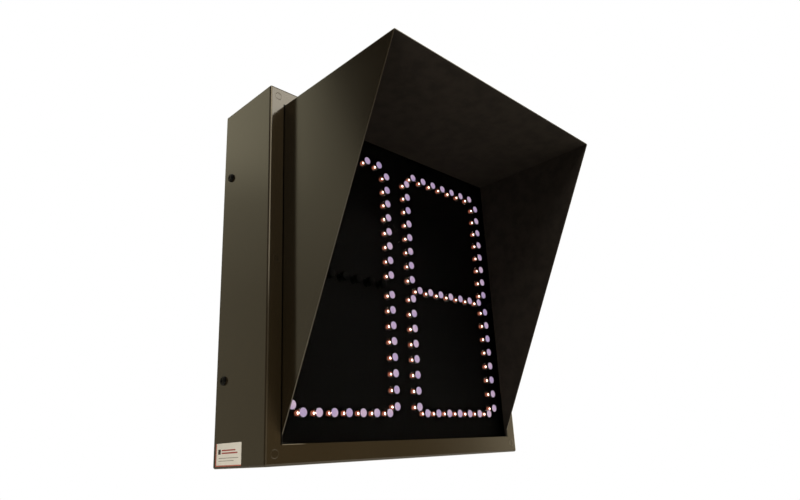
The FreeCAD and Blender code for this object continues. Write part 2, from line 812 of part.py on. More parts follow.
def make_rear_rails():
    """Four angle rails welded along the edges of the back plate."""
    rails = []
    for side in (-1, 1):
        rail = doc.addObject("PartDesign::Body", "side_rail")
        profile = new_sketch(rail, "profile", plane="XY_Plane", lift=f"-{PAN_Z}")
        draw_outline(profile, [(x, f"-({forward})") for x, forward in angle_section(side, PAN_X)])
        pad(rail, profile, f"2 * {PAN_Z}", "angle")
        cut_screw_slots(rail)
        rails.append(rail)
    for up in (-1, 1):
        rail = doc.addObject("PartDesign::Body", "end_rail")
        profile = new_sketch(rail, "profile", plane="YZ_Plane", lift=f"-({PAN_X} - rail_foot)")
        draw_outline(profile, [(f"-({forward})", z) for z, forward in angle_section(up, PAN_Z)])
        pad(rail, profile, f"2 * ({PAN_X} - rail_foot)", "angle")
        rails.append(rail)
    grouped("rear_rails", rails)


def make_side_screws():
    """Pan-head screws through the housing sides, with nuts inside the side rails."""
    screws, nuts = [], []
    recess_arms = (("recess_length", "recess_width"), ("recess_width", "recess_length"))
    outer = "(housing_width / 2)"
    nut_outer = f"({PAN_X} - steel_sheet - pan_gap)"
    for index, (side, up) in enumerate((side, up) for side in (-1, 1) for up in (-1, 1)):
        axis = "right" if side > 0 else "left"
        z = f"{up} * screw_rise"
        head = rod(f"pan_head_{index}", "screw_head_radius", "screw_head_height",
                   (f"{side} * {outer}", "screw_forward", z), axis)
        shank = rod(f"pan_shank_{index}", "screw_radius", "screw_length + fuse_overlap",
                    (f"{side} * ({outer} - screw_length)", "screw_forward", z), axis)
        blank = fused(f"pan_screw_{index}", head, shank)
        rim = doc.addObject("Part::Fillet", f"pan_rim_{index}")
        rim.Base = blank
        doc.recompute()
        top = side * val("housing_width / 2 + screw_head_height")
        rim.Edges = [
            (number, val("screw_head_round"), val("screw_head_round"))
            for number, edge in enumerate(blank.Shape.Edges, start=1)
            if abs(edge.BoundBox.XMin - top) + abs(edge.BoundBox.XMax - top) < EDGE_TOLERANCE
        ]
        floor = f"({outer} + screw_head_height - recess_depth)"
        arms = [
            box(f"recess_{index}_{turn}", ("screw_head_height", *extent),
                (f"{side} * {floor} - {(1 - side) / 2} * screw_head_height",
                 f"screw_forward - {extent[0]} / 2", f"{z} - {extent[1]} / 2"))
            for turn, extent in enumerate(recess_arms)
        ]
        screws.append(without(f"side_screw_{index}", rim, *arms))
        foot = (f"{side} * ({nut_outer} - side_nut_height)", "screw_forward", z)
        nuts.append(hex_nut(f"side_nut_{index}", "side_nut", "screw_radius", foot, axis))
    grouped("side_screws", screws)
    grouped("side_nuts", nuts)


def make_side_label():
    size = ("label_thick", "label_length", "label_height")
    corner = (
        "-(housing_width / 2 + label_thick)",
        "label_forward - label_length / 2",
        "-label_drop - label_height / 2",
    )
    keep(box("side_label", size, corner), "side_label")


def make_cable_bushing():
    """Snap bushing in the back plate, flush with the mounting plane."""
    barrel = rod("bushing_barrel", "bushing_radius - fit_gap", "steel_sheet + fuse_overlap",
                 ("0", "0", "-cable_drop"))
    collar = rod("bushing_collar", "bushing_flange_radius", "bushing_flange",
                 ("0", "steel_sheet", "-cable_drop"))
    bore = rod("bushing_hole", "bushing_bore", "steel_sheet + bushing_flange + 2",
               ("0", "-1", "-cable_drop"))
    keep(without("cable_bushing", fused("bushing_body", barrel, collar), bore), "cable_bushing")


def make_earth_stud():
    place = ("earth_across", "steel_sheet", "-earth_drop")
    base = rod("earth_base", "earth_flange_radius", "earth_flange", place)
    shank = rod("earth_shank", "screw_radius", "earth_length", place)
    keep(fused("earth_stud", base, shank), "earth_stud")
    foot = ("earth_across", "steel_sheet + earth_flange", "-earth_drop")
    keep(hex_nut("earth_nut", "side_nut", "screw_radius", foot), "earth_nut")


# ---------------------------------------------------------------- power supply

SUPPLY_FLOOR = "(steel_sheet + supply_sheet)"
SUPPLY_FRONT = "(steel_sheet + supply_depth)"
BAY_RIGHT = f"({SUPPLY_LEFT} + supply_bay)"
BLOCK_BACK = f"({SUPPLY_FLOOR} + supply_boss + board_thick)"
SLOT_WIDTH = "(knob_width + selector_travel + 2 * knob_end_gap)"
SLOT_DEPTH = "(knob_depth + 2 * knob_side_gap)"
SLOT_LEFT = f"(selector_left + (selector_width - {SLOT_WIDTH}) / 2)"
SELECTOR_BACK = f"({SUPPLY_FLOOR} + selector_rise)"
SELECTOR_LOW = f"({SUPPLY_LOW} + supply_sheet + fit_gap)"
SLOT_BACK = f"({SELECTOR_BACK} + (selector_depth - {SLOT_DEPTH}) / 2)"


def make_supply_base():
    """Folded metal channel with four bosses and a cut-out for the voltage selector."""
    outer = box("base_outer", ("supply_length", "supply_depth - supply_sheet", "supply_height"),
                (SUPPLY_LEFT, "steel_sheet", SUPPLY_LOW))
    inner = box("base_inner", ("supply_length + 2", "supply_depth", "supply_height - 2 * supply_sheet"),
                (f"{SUPPLY_LEFT} - 1", SUPPLY_FLOOR, f"{SUPPLY_LOW} + supply_sheet"))
    window = box("selector_window", (SLOT_WIDTH, SLOT_DEPTH, "supply_sheet + 2"),
                 (SLOT_LEFT, SLOT_BACK, f"{SUPPLY_LOW} - 1"))
    corners = [(across, up) for across in (-1, 1) for up in (-1, 1)]
    bosses = [
        rod(f"boss_{index}", "supply_boss_radius", "supply_boss",
            (f"{across} * supply_boss_across", SUPPLY_FLOOR, f"supply_rise + {up} * supply_boss_up"))
        for index, (across, up) in enumerate(corners)
    ]
    channel = without("base_channel", outer, inner, window)
    keep(fused("supply_base", channel, *bosses), "supply_base")


def make_supply_cover():
    """Flat cover over the board, with rows of vent slots."""
    body = new_body("supply_cover")
    outline = new_sketch(body, "outline", lift=f"{SUPPLY_FRONT} - supply_sheet")
    draw_rectangle(outline, BAY_RIGHT, "supply_length / 2", SUPPLY_LOW, f"{SUPPLY_LOW} + supply_height")
    pad(body, outline, "supply_sheet", "sheet")
    first = f"({BAY_RIGHT} + vent_margin)"
    for row in range(round(val("vent_rows"))):
        vent = new_sketch(body, f"vent_{row}", lift=SUPPLY_FRONT)
        z = f"({SUPPLY_LOW} + vent_low + {row} * vent_rise)"
        draw_rectangle(vent, first, f"{first} + vent_width",
                       f"{z} - vent_height / 2", f"{z} + vent_height / 2")
        slot = pocket(body, vent, "supply_sheet + 1", f"slot_{row}")
        pattern = body.newObject("PartDesign::LinearPattern", f"slots_{row}")
        pattern.Originals = [slot]
        pattern.Direction = (origin_item(body, "X_Axis"), [""])
        bind(pattern, Length="supply_length - supply_bay - 2 * vent_margin - vent_width",
             Occurrences="vent_columns")
        body.Tip = pattern
        doc.recompute()


def make_supply_board():
    """Circuit board on the bosses, with its transformer and capacitors soldered on."""
    plate = box("supply_plate", (
        "supply_length - 2 * board_end_gap", "board_thick",
        "supply_height - 2 * supply_sheet - 2 * board_side_gap",
    ), (
        f"{SUPPLY_LEFT} + board_end_gap", f"{SUPPLY_FLOOR} + supply_boss",
        f"{SUPPLY_LOW} + supply_sheet + board_side_gap",
    ))
    transformer = box("transformer", ("transformer_width", "transformer_depth", "transformer_height"),
                      ("transformer_left", BLOCK_BACK, "supply_rise - transformer_height / 2"))
    can_places = (("44", "25"), ("62", "25"), ("-32", "-20"), ("-32", "4"))
    cans = [
        rod(f"can_{index}", "can_radius", "can_length", (x, BLOCK_BACK, f"supply_rise + {up}"))
        for index, (x, up) in enumerate(can_places)
    ]
    keep(fused("supply_board", plate, transformer, *cans), "supply_board")


BLOCK_LEFT = f"({SUPPLY_LEFT} + block_inset)"
BLOCK_LOW = "(supply_rise - block_drop)"
BLOCK_FRONT = f"({BLOCK_BACK} + block_depth)"
WAY_FLOOR = f"({BLOCK_FRONT} - way_depth)"
FIRST_WAY = f"({BLOCK_LOW} + way_first + way_wall / 2)"
LID_FORWARD = f"({BLOCK_FRONT} + lid_rise)"
LID_PIVOT_X = f"({BLOCK_LEFT} + block_width - lid_pivot_inset)"
LID_GAP = "(ear_thick + lid_end_gap)"


def make_terminal_block():
    """Barrier strip with one screw for each way, and ears that carry the lid's pin."""
    bar = box("block_bar", ("block_width", "block_depth - way_depth", "block_length"),
              (BLOCK_LEFT, BLOCK_BACK, BLOCK_LOW))
    ways = round(val("way_count"))
    walls = [
        box(f"block_wall_{way}", ("block_width - way_mouth", "way_depth + fuse_overlap", "way_wall"),
            (BLOCK_LEFT, f"{WAY_FLOOR} - fuse_overlap", f"{BLOCK_LOW} + way_first + {way} * way_pitch"))
        for way in range(ways + 1)
    ]
    ears = []
    for index, low in enumerate((BLOCK_LOW, f"({BLOCK_LOW} + block_length - ear_thick)")):
        reach = f"{LID_FORWARD} + ear_width / 2 - {WAY_FLOOR} + fuse_overlap"
        ear = box(f"ear_blank_{index}", ("ear_width", reach, "ear_thick"),
                  (f"{LID_PIVOT_X} - ear_width / 2", f"{WAY_FLOOR} - fuse_overlap", low))
        hole = rod(f"ear_bore_{index}", "lid_pin_radius + pin_play", "3 * ear_thick",
                   (LID_PIVOT_X, LID_FORWARD, f"{low} - ear_thick"), "up")
        ears.append(without(f"ear_{index}", ear, hole))
    keep(fused("supply_terminals", bar, *walls, *ears), "supply_terminals")
    return [
        slotted_head(f"way_screw_{way}", "way_screw_radius", (
            f"({BLOCK_LEFT} + way_screw_across)", WAY_FLOOR, f"({FIRST_WAY} + ({way} + 0.5) * way_pitch)",
        ))
        for way in range(ways)
    ]


def make_terminal_cover():
    """Clear lid over the terminals, turning on its own pin between the two ears."""
    low = f"({BLOCK_LOW} + {LID_GAP})"
    span = f"(block_length - 2 * {LID_GAP})"
    left = f"({BLOCK_LEFT} - lid_overhang)"
    right = f"({LID_PIVOT_X} - lid_barrel_radius + fuse_overlap)"
    plate = box("lid_plate", (f"{right} - {left}", "lid_thick", span),
                (left, f"{LID_FORWARD} - lid_thick / 2", low))
    lip = box("lid_lip", ("lid_thick", "lid_lip", span),
              (f"{left} - lid_thick", f"{LID_FORWARD} + lid_thick / 2 - lid_lip", low))
    barrel = rod("lid_barrel", "lid_barrel_radius", span, (LID_PIVOT_X, LID_FORWARD, low), "up")
    pin = rod("lid_pin", "lid_pin_radius", "block_length - 2 * lid_pin_inset",
              (LID_PIVOT_X, LID_FORWARD, f"{BLOCK_LOW} + lid_pin_inset"), "up")
    keep(fused("terminal_cover", plate, lip, barrel, pin), "terminal_cover")


def make_output_trimmer():
    """Small rotor in its case beside the terminals."""
    x = f"({BLOCK_LEFT} + trimmer_across)"
    z = "(supply_rise - trimmer_drop)"
    seat_back = f"({BLOCK_BACK} + trimmer_floor)"
    case = centred_box("trimmer_body", ("trimmer_width", "trimmer_depth", "trimmer_width"), x, BLOCK_BACK, z)
    seat = rod("trimmer_seat", "trimmer_radius + pin_play", "trimmer_depth", (x, seat_back, z))
    keep(without("trimmer_case", case, seat), "trimmer_case")
    foot = f"({seat_back} + rotor_lift)"
    rotor = rod("rotor_blank", "trimmer_radius", "rotor_length", (x, foot, z))
    slot = centred_box("rotor_slot", ("slot_width", "rotor_length", "3 * trimmer_radius"),
                       x, f"{foot} + rotor_length - rotor_slot_depth", z)
    keep(without("output_trimmer", rotor, slot), "output_trimmer")


def make_voltage_selector():
    """Slide switch behind the cut-out in the supply's lower wall."""
    shell = box("selector_shell", ("selector_width", "selector_depth", "selector_height"),
                ("selector_left", SELECTOR_BACK, SELECTOR_LOW))
    track = box("selector_track", (SLOT_WIDTH, SLOT_DEPTH, "1 + knob_height - knob_proud + knob_side_gap"),
                (SLOT_LEFT, SLOT_BACK, f"{SELECTOR_LOW} - 1"))
    keep(without("selector_case", shell, track), "selector_case")
    knob_left = f"({SLOT_LEFT} + knob_end_gap)"
    knob_low = f"({SELECTOR_LOW} - knob_proud)"
    knob = box("selector_knob", ("knob_width", "knob_depth", "knob_height"),
               (knob_left, f"{SLOT_BACK} + knob_side_gap", knob_low))
    groove = box("selector_groove", ("groove_width", "2 * knob_depth", "2 * groove_depth"),
                 (f"{knob_left} + (knob_width - groove_width) / 2", f"{SLOT_BACK} - 1",
                  f"{knob_low} - groove_depth"))
    keep(without("voltage_selector", knob, groove), "voltage_selector")


# ---------------------------------------------------------------- driver board and wiring

def make_driver_board():
    """Controller board on four hexagonal standoffs."""
    body = new_body("driver_board")
    outline = new_sketch(body, "outline", lift="steel_sheet + standoff_height")
    half_x, half_z = "driver_width / 2", "driver_height / 2"
    draw_rectangle(outline, f"-{half_x}", half_x, f"-header_drop - {half_z}", f"-header_drop + {half_z}")
    pad(body, outline, "board_thick", "plate")
    corners = [
        (f"{across} * ({half_x} - board_corner)", f"-header_drop + {up} * ({half_z} - board_corner)")
        for across in (-1, 1) for up in (-1, 1)
    ]
    holes = new_sketch(body, "holes", lift=DRIVER_FRONT)
    draw_circles(holes, corners, "small_hole_radius")
    pocket(body, holes, "board_thick + 1", "corner_holes")
    posts, screws = [], []
    for index, (x, z) in enumerate(corners):
        post = hexagon(f"post_{index}", "small_nut_flats", "standoff_height", (x, "steel_sheet", z))
        tap = rod(f"post_bore_{index}", "small_radius + thread_gap", "tap_depth + 1",
                  (x, "steel_sheet + standoff_height - tap_depth", z))
        posts.append(without(f"standoff_{index}", post, tap))
        head = slotted_head(f"board_head_{index}", "board_screw_radius", (x, DRIVER_FRONT, z))
        shank = rod(f"board_shank_{index}", "small_radius", "board_screw_length + fuse_overlap",
                    (x, f"{DRIVER_FRONT} - board_screw_length", z))
        screws.append(fused(f"board_screw_{index}", head, shank))
    grouped("driver_standoffs", posts)
    grouped("driver_screws", screws)


def make_driver_components():
    """Processor, output drivers, power socket and the sprung test button."""
    chip_places = (("0", "0", "14", "14"), ("-32", "-20", "10", "7.5"), ("32", "-20", "10", "7.5"))
    chips = [
        centred_box(f"chip_{index}", (width, "chip_thick", height),
                    x, DRIVER_FRONT, f"(-header_drop + {rise})")
        for index, (x, rise, width, height) in enumerate(chip_places)
    ]
    grouped("driver_chips", chips)
    socket = centred_box("socket_body", ("socket_width", "socket_depth", "socket_height"),
                         "socket_across", DRIVER_FRONT, "(-header_drop + socket_rise)")
    keep(socket, "power_socket")
    x, z = "(-button_across)", "(-header_drop + button_rise)"
    seat_back = f"({DRIVER_FRONT} + button_floor)"
    case = centred_box("button_body", ("button_width", "button_depth", "button_width"), x, DRIVER_FRONT, z)
    seat = rod("button_seat", "button_radius + pin_play", "2 * button_depth", (x, seat_back, z))
    keep(without("button_case", case, seat), "button_case")
    foot = f"{seat_back} + button_travel + button_spare"
    keep(rod("test_button", "button_radius", "button_length", (x, foot, z)), "test_button")


FIELD_LOW = "(-cable_drop - field_below)"
FIELD_FIRST = "(field_first - field_reach)"
FIELD_WELL = "(steel_sheet + field_depth - well_depth)"
MOUTH_MIDDLE = "(steel_sheet + mouth_forward)"
FIELD_TOP = f"({FIELD_LOW} + field_height)"


def make_field_terminals():
    """Terminal block near the cable entry for the incoming supply and signal wires."""
    bar = box("field_bar", ("field_length", "field_depth", "field_height"),
              ("-field_reach", "steel_sheet", FIELD_LOW))
    cuts, screws = [], []
    for way in range(round(val("field_count"))):
        x = f"({FIELD_FIRST} + {way} * field_pitch)"
        middle = f"({FIELD_LOW} + field_height / 2)"
        cuts.append(rod(f"field_well_{way}", "well_radius", "well_depth + 1", (x, FIELD_WELL, middle)))
        cuts.append(centred_box(f"field_mouth_{way}", ("mouth_width", "mouth_height", "2 * mouth_depth"),
                                x, f"{MOUTH_MIDDLE} - mouth_height / 2", FIELD_TOP))
        screws.append(slotted_head(f"field_screw_{way}", "way_screw_radius", (x, FIELD_WELL, middle)))
    keep(without("field_terminals", bar, *cuts), "field_terminals")
    return screws


def routed_tube(name, points, radius):
    """A wire along straight runs joined by arcs that are as large as the runs allow."""
    spots = [FreeCAD.Vector(val(x), -val(forward), val(z)) for x, forward, z in points]
    edges = []
    start = spots[0]
    for before, corner, after in zip(spots, spots[1:], spots[2:]):
        back, ahead = before - corner, after - corner
        half_turn = (math.pi - back.getAngle(ahead)) / 2
        reach = ARC_SHARE * min(back.Length, ahead.Length)
        bend = reach / math.tan(half_turn)
        enter = corner + back.normalize() * reach
        leave = corner + ahead.normalize() * reach
        inward = (back + ahead).normalize()
        middle = corner + inward * (bend / math.cos(half_turn) - bend)
        edges.append(Part.LineSegment(start, enter).toShape())
        edges.append(Part.Arc(enter, middle, leave).toShape())
        print(f"{name}: bend radius {bend:.1f}")
        start = leave
    edges.append(Part.LineSegment(start, spots[-1]).toShape())
    path = Part.Wire(edges)
    normal = path.Edges[0].tangentAt(path.Edges[0].FirstParameter)
    section = Part.Wire([Part.makeCircle(radius, spots[0], normal)])
    tube = doc.addObject("Part::Feature", name)
    tube.Shape = path.makePipeShell([section], True, False)
    expected = math.pi * radius ** 2 * path.Length
    print(f"{name}: length {path.Length:.0f}, volume {tube.Shape.Volume:.0f}, expected {expected:.0f}")
    tube.Placement = FreeCAD.Placement()
    keep(tube, name)


def make_leads():
    """Low-voltage lead from the supply to the driver board, and the mains lead."""
    way = f"({FIRST_WAY} + 0.5 * way_pitch)"
    routed_tube("supply_lead", [
        (BLOCK_LEFT, f"{BLOCK_FRONT} - 9", way),
        (f"{BLOCK_LEFT} - 16", f"{BLOCK_FRONT} - 9", way),
        (f"{BLOCK_LEFT} - 20", f"{BLOCK_FRONT} - 7", f"{way} - 24"),
        (f"{BLOCK_LEFT} - 9", f"{BLOCK_FRONT} + 6", f"{way} - 46"),
        ("-42", f"{BLOCK_FRONT} + 12", "12"),
        ("-4", f"{BLOCK_FRONT} + 12", "9"),
        ("20", f"{BLOCK_FRONT} + 14", "2"),
        ("socket_across", f"{DRIVER_FRONT} + 26", "-header_drop + socket_rise"),
        ("socket_across", f"{DRIVER_FRONT} + socket_depth", "-header_drop + socket_rise"),
    ], val("supply_lead_radius"))
    far = f"({FIRST_WAY} + 6.5 * way_pitch)"
    routed_tube("mains_lead", [
        (BLOCK_LEFT, f"{BLOCK_FRONT} - 9", far),
        (f"{BLOCK_LEFT} - 16", f"{BLOCK_FRONT} - 9", far),
        (f"{BLOCK_LEFT} - 29", f"{BLOCK_FRONT} - 10", f"{far} - 34"),
        (f"{BLOCK_LEFT} - 33", f"{BLOCK_FRONT} - 12", f"{far} - 84"),
        (f"{BLOCK_LEFT} - 34", f"{BLOCK_FRONT} - 15", f"{far} - 138"),
        (f"{BLOCK_LEFT} - 31", "8", f"{far} - 192"),
        (f"{BLOCK_LEFT} - 27", "6.5", "-92"),
        (f"{BLOCK_LEFT} - 20", "6.5", "-112"),
        (FIELD_FIRST, MOUTH_MIDDLE, "-127"),
        (FIELD_FIRST, MOUTH_MIDDLE, f"{FIELD_TOP} - mouth_depth"),
    ], val("mains_lead_radius"))


# ---------------------------------------------------------------- build and export

make_housing_shell()
make_visor_hood()
make_window()
make_face_panel()
make_bezel_fasteners()
for digit_name, digit_middle in digit_centres.items():
    make_digit(digit_name, digit_middle)
make_board_fasteners()
make_connectors()
grouped("digit_ribbons", [make_ribbon("tens", -1), make_ribbon("units", 1)])
make_side_screws()
make_side_label()
make_rear_plate()
make_rear_rails()
make_cable_bushing()
make_earth_stud()
make_supply_base()
make_supply_cover()
make_supply_board()
supply_screws = make_terminal_block()
make_terminal_cover()
make_output_trimmer()
make_voltage_selector()
make_driver_board()
make_driver_components()
field_screws = make_field_terminals()
grouped("terminal_screws", supply_screws + field_screws)
make_leads()

doc.recompute()
for item in doc.Objects:
    assert not {"Invalid", "Error"} & set(item.State), f"{item.Label} did not compute"
for item in sub_parts:
    assert not item.Shape.isNull() and item.Shape.isValid(), f"{item.Label} has no valid shape"
for item in sub_parts:
    item.Shape.exportStep(f"parts/{item.Label}.step")
print(len(sub_parts), "sub-parts")
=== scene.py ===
import json
import math

import bmesh
import bpy
from mathutils import Matrix, Vector


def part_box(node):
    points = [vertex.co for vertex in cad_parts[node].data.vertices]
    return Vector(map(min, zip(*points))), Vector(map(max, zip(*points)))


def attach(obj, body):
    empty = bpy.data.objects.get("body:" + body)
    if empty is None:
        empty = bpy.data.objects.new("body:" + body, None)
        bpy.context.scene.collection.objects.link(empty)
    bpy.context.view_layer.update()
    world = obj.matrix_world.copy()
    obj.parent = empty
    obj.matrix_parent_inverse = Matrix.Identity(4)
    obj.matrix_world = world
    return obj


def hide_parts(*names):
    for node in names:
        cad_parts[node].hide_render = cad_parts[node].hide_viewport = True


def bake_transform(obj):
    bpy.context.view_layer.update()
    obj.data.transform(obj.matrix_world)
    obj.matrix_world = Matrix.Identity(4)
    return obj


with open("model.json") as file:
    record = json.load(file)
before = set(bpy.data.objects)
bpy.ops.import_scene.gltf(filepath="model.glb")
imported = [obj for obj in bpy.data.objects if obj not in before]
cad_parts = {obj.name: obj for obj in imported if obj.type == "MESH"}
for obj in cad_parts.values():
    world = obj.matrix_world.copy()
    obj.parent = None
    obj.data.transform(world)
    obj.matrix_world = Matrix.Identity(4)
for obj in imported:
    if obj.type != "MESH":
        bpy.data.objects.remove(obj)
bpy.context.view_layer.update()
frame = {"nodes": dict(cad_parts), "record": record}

MM = 0.001
nodes = frame["nodes"]
scene = bpy.context.scene
scene.view_settings.view_transform = "Standard"
scene.view_settings.look = "None"


# ---------------------------------------------------------------- node helpers

class Graph:
    """A small helper that adds and links the shader nodes of one material or of the world."""

    def __init__(self, tree):
        self.tree = tree

    def add(self, kind, **values):
        node = self.tree.nodes.new(kind)
        for name, value in values.items():
            if hasattr(node, name):
                setattr(node, name, value)
        return node

    def link(self, source, target):
        self.tree.links.new(source, target)

    def coords(self, scale=(1, 1, 1), turn=(0, 0, 0)):
        where = self.add("ShaderNodeTexCoord")
        mapping = self.add("ShaderNodeMapping")
        mapping.inputs["Scale"].default_value = scale
        mapping.inputs["Rotation"].default_value = turn
        self.link(where.outputs["Object"], mapping.inputs["Vector"])
        return mapping.outputs["Vector"]

    def noise(self, scale, detail=3.0, rough=0.5, vector=None):
        node = self.add("ShaderNodeTexNoise")
        node.inputs["Scale"].default_value = scale
        node.inputs["Detail"].default_value = detail
        node.inputs["Roughness"].default_value = rough
        self.link(vector or self.coords(), node.inputs["Vector"])
        return node.outputs["Fac"]

    def ramp(self, source, stops):
        node = self.add("ShaderNodeValToRGB")
        band = node.color_ramp
        while len(band.elements) < len(stops):
            band.elements.new(0.5)
        for element, (place, colour) in zip(band.elements, stops):
            element.position = place
            element.color = (*colour, 1) if len(colour) == 3 else colour
        self.link(source, node.inputs["Fac"])
        return node.outputs["Color"]

    def span(self, source, low, high, start=0.0, end=1.0, soft=False):
        node = self.add("ShaderNodeMapRange", interpolation_type="SMOOTHSTEP" if soft else "LINEAR")
        for name, value in zip(("From Min", "From Max", "To Min", "To Max"), (start, end, low, high)):
            node.inputs[name].default_value = value
        self.link(source, node.inputs["Value"])
        return node.outputs["Result"]

    def rise(self, source, start, end, low=0.0, high=1.0):
        """low below start, high above end, and a soft step between them."""
        return self.span(source, low, high, start, end, soft=True)

    def fall(self, source, start, end, high=1.0, low=0.0):
        """high below start, low above end, and a soft step between them."""
        return self.span(source, high, low, start, end, soft=True)

    def split(self, vector):
        """The three parts of a vector."""
        node = self.add("ShaderNodeSeparateXYZ")
        self.link(vector, node.inputs["Vector"])
        return node.outputs["X"], node.outputs["Y"], node.outputs["Z"]

    def maths(self, kind, *values):
        node = self.add("ShaderNodeMath", operation=kind)
        for index, value in enumerate(values):
            if isinstance(value, (int, float)):
                node.inputs[index].default_value = value
            else:
                self.link(value, node.inputs[index])
        return node.outputs["Value"]

    def away(self, source, centre=0.0):
        """How far a value is from centre, whichever way."""
        return self.maths("ABSOLUTE", self.maths("SUBTRACT", source, centre) if centre else source)

    def product(self, first, *others):
        for other in others:
            first = self.maths("MULTIPLY", first, other)
        return first

    def mix(self, factor, first, second, blend="MIX"):
        node = self.add("ShaderNodeMix", data_type="RGBA", blend_type=blend)
        if isinstance(factor, (int, float)):
            node.inputs["Factor"].default_value = factor
        else:
            self.link(factor, node.inputs["Factor"])
        for name, value in (("A", first), ("B", second)):
            socket = next(s for s in node.inputs if s.name == name and s.type == "RGBA")
            if isinstance(value, tuple):
                socket.default_value = (*value, 1)
            else:
                self.link(value, socket)
        return next(s for s in node.outputs if s.type == "RGBA")

    def dot(self, first, second):
        """How far two directions agree; second may be a tuple."""
        node = self.add("ShaderNodeVectorMath", operation="DOT_PRODUCT")
        self.link(first, node.inputs[0])
        if isinstance(second, tuple):
            node.inputs[1].default_value = second
        else:
            self.link(second, node.inputs[1])
        return node.outputs["Value"]

    def bump(self, height, strength, distance, normal=None):
        node = self.add("ShaderNodeBump")
        node.inputs["Strength"].default_value = strength
        node.inputs["Distance"].default_value = distance
        self.link(height, node.inputs["Height"])
        if normal is not None:
            self.link(normal, node.inputs["Normal"])
        return node.outputs["Normal"]


def material(name, **plain):
    """A new material with one Principled shader whose plain values are set here."""
    made = bpy.data.materials.new(name)
    made.use_nodes = True
    shader = made.node_tree.nodes["Principled BSDF"]
    for socket, value in plain.items():
        shader.inputs[socket.replace("_", " ")].default_value = value
    return made, Graph(made.node_tree), shader


def scaled(colour, factor):
    return tuple(factor * channel for channel in colour)


# ---------------------------------------------------------------- materials

SHELL_LOW, SHELL_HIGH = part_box("housing_shell")
HOOD_LOW, HOOD_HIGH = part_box("visor_hood")
HOOD_FRONT = [v.co for v in nodes["visor_hood"].data.vertices if v.co.y < SHELL_LOW[1] - 5 * MM]
HOOD_SIDE = max(point.x for point in HOOD_FRONT)
HOOD_TOP = max(point.z for point in HOOD_FRONT)
STUD_HEAD = 4.0 * MM
STUD_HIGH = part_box("bezel_studs")[1]
STUD_X = STUD_HIGH[0] - STUD_HEAD
STUD_Z = STUD_HIGH[2] - STUD_HEAD

BRONZE = (0.0285, 0.0205, 0.0105)
VISOR_DARK, VISOR_LIGHT = (0.0190, 0.0160, 0.0145), (0.0262, 0.0220, 0.0190)
# Rubbed paint on the visor's cut edge, which is also a painted highlight there and on the stud rings.
RUBBED_AND_HIGHLIGHT = (0.115, 0.102, 0.075)
# Bare metal for the worn lower lip, and a painted highlight on the front bends.
BARE_AND_HIGHLIGHT = (0.42, 0.38, 0.30)
SHADOW = (0.003, 0.0025, 0.002)


def cut_edge(graph, amount):
    """The outer half of the visor's slanted raw edge: rubbed paint and a painted highlight where the cut
    face catches the light, most near its foot.
    """
    rise = HOOD_HIGH[2] - HOOD_LOW[2]
    run = SHELL_LOW[1] - HOOD_LOW[1]
    facing = Vector((0, -rise, -run)).normalized()
    geometry = graph.add("ShaderNodeNewGeometry")
    square_on = graph.span(graph.dot(geometry.outputs["True Normal"], tuple(facing)), 0, 1, 0.96, 0.985)
    x, y, z = graph.split(graph.coords())
    outer = graph.fall(graph.away(graph.away(x), HOOD_SIDE), 0.35 * MM, 0.7 * MM)
    low_down = graph.fall(z, -0.12, -0.03, amount, 0.12 * amount)
    return graph.product(square_on, outer, low_down)


def visor_inside(graph):
    """The inner faces of the visor, which get a rougher, duller paint and a greyer mottled colour."""
    x, y, z = graph.split(graph.coords())
    between = graph.span(graph.away(x), 1, 0, HOOD_SIDE - 0.9 * MM, HOOD_SIDE - 0.6 * MM)
    under = graph.span(z, 1, 0, HOOD_TOP - 0.9 * MM, HOOD_TOP - 0.6 * MM)
    return graph.product(between, under)


def bend_highlight(graph, amount):
    """A painted highlight along the front vertical bends of the housing: the mirrored line of light on the
    corner, stronger up high.
    """
    x, y, z = graph.split(graph.coords())
    side = graph.maths("SUBTRACT", SHELL_HIGH[0], graph.away(x))
    depth = graph.maths("SUBTRACT", y, SHELL_LOW[1])
    near = graph.fall(graph.maths("ADD", side, depth), 1.2 * MM, 2.2 * MM)
    front_half = graph.rise(graph.maths("SUBTRACT", side, depth), 0.0, 0.8 * MM)
    upper = graph.rise(z, -0.06, 0.01, 0.12 * amount, amount)
    return graph.product(near, front_half, upper)


def rubbed_lip(graph, amount):
    """A short rubbed stretch of the bezel's lower lip, beside the left foot of the visor."""
    x, y, z = graph.split(graph.coords())
    near = graph.fall(graph.away(z, -HOOD_TOP - 0.4 * MM), 0.3 * MM, 0.7 * MM, amount)
    foot = -HOOD_SIDE
    starts = graph.rise(x, foot - 1 * MM, foot + 3 * MM)
    ends = graph.fall(x, foot + 21 * MM, foot + 31 * MM)
    front = graph.span(y, 1, 0, SHELL_LOW[1] + 1.0 * MM, SHELL_LOW[1] + 2.0 * MM)
    return graph.product(near, starts, ends, front)


def joint_line(graph, width):
    """The dark line where the visor comes out of the bezel, along its sides and top."""
    x, y, z = graph.split(graph.coords())
    across = graph.maths("SUBTRACT", graph.away(x), HOOD_SIDE)
    up = graph.maths("SUBTRACT", z, HOOD_TOP)
    below = graph.maths("SUBTRACT", -HOOD_TOP, z)
    beside = graph.maths("MAXIMUM", graph.maths("MAXIMUM", graph.away(across), up), below)
    over = graph.maths("MAXIMUM", graph.away(up), across)
    closest = graph.maths("MAXIMUM", graph.maths("MINIMUM", beside, over), graph.away(y, SHELL_LOW[1]))
    return graph.fall(closest, 0.7 * width, 1.2 * width)


def stud_marks(graph, width=1.1 * MM):
    """A faint ring round every flush stud, where the sheet has drawn a little; its lighter colour is a
    painted highlight on the ring.
    """
    x, y, z = graph.split(graph.coords())
    across = graph.maths("SUBTRACT", graph.away(x), STUD_X)
    up = graph.away(z)
    nearest = graph.maths("MINIMUM", up, graph.away(up, STUD_Z))
    squares = graph.maths("ADD", graph.product(across, across), graph.product(nearest, nearest))
    return graph.fall(graph.away(graph.maths("SQRT", squares), STUD_HEAD), 0.0, width)


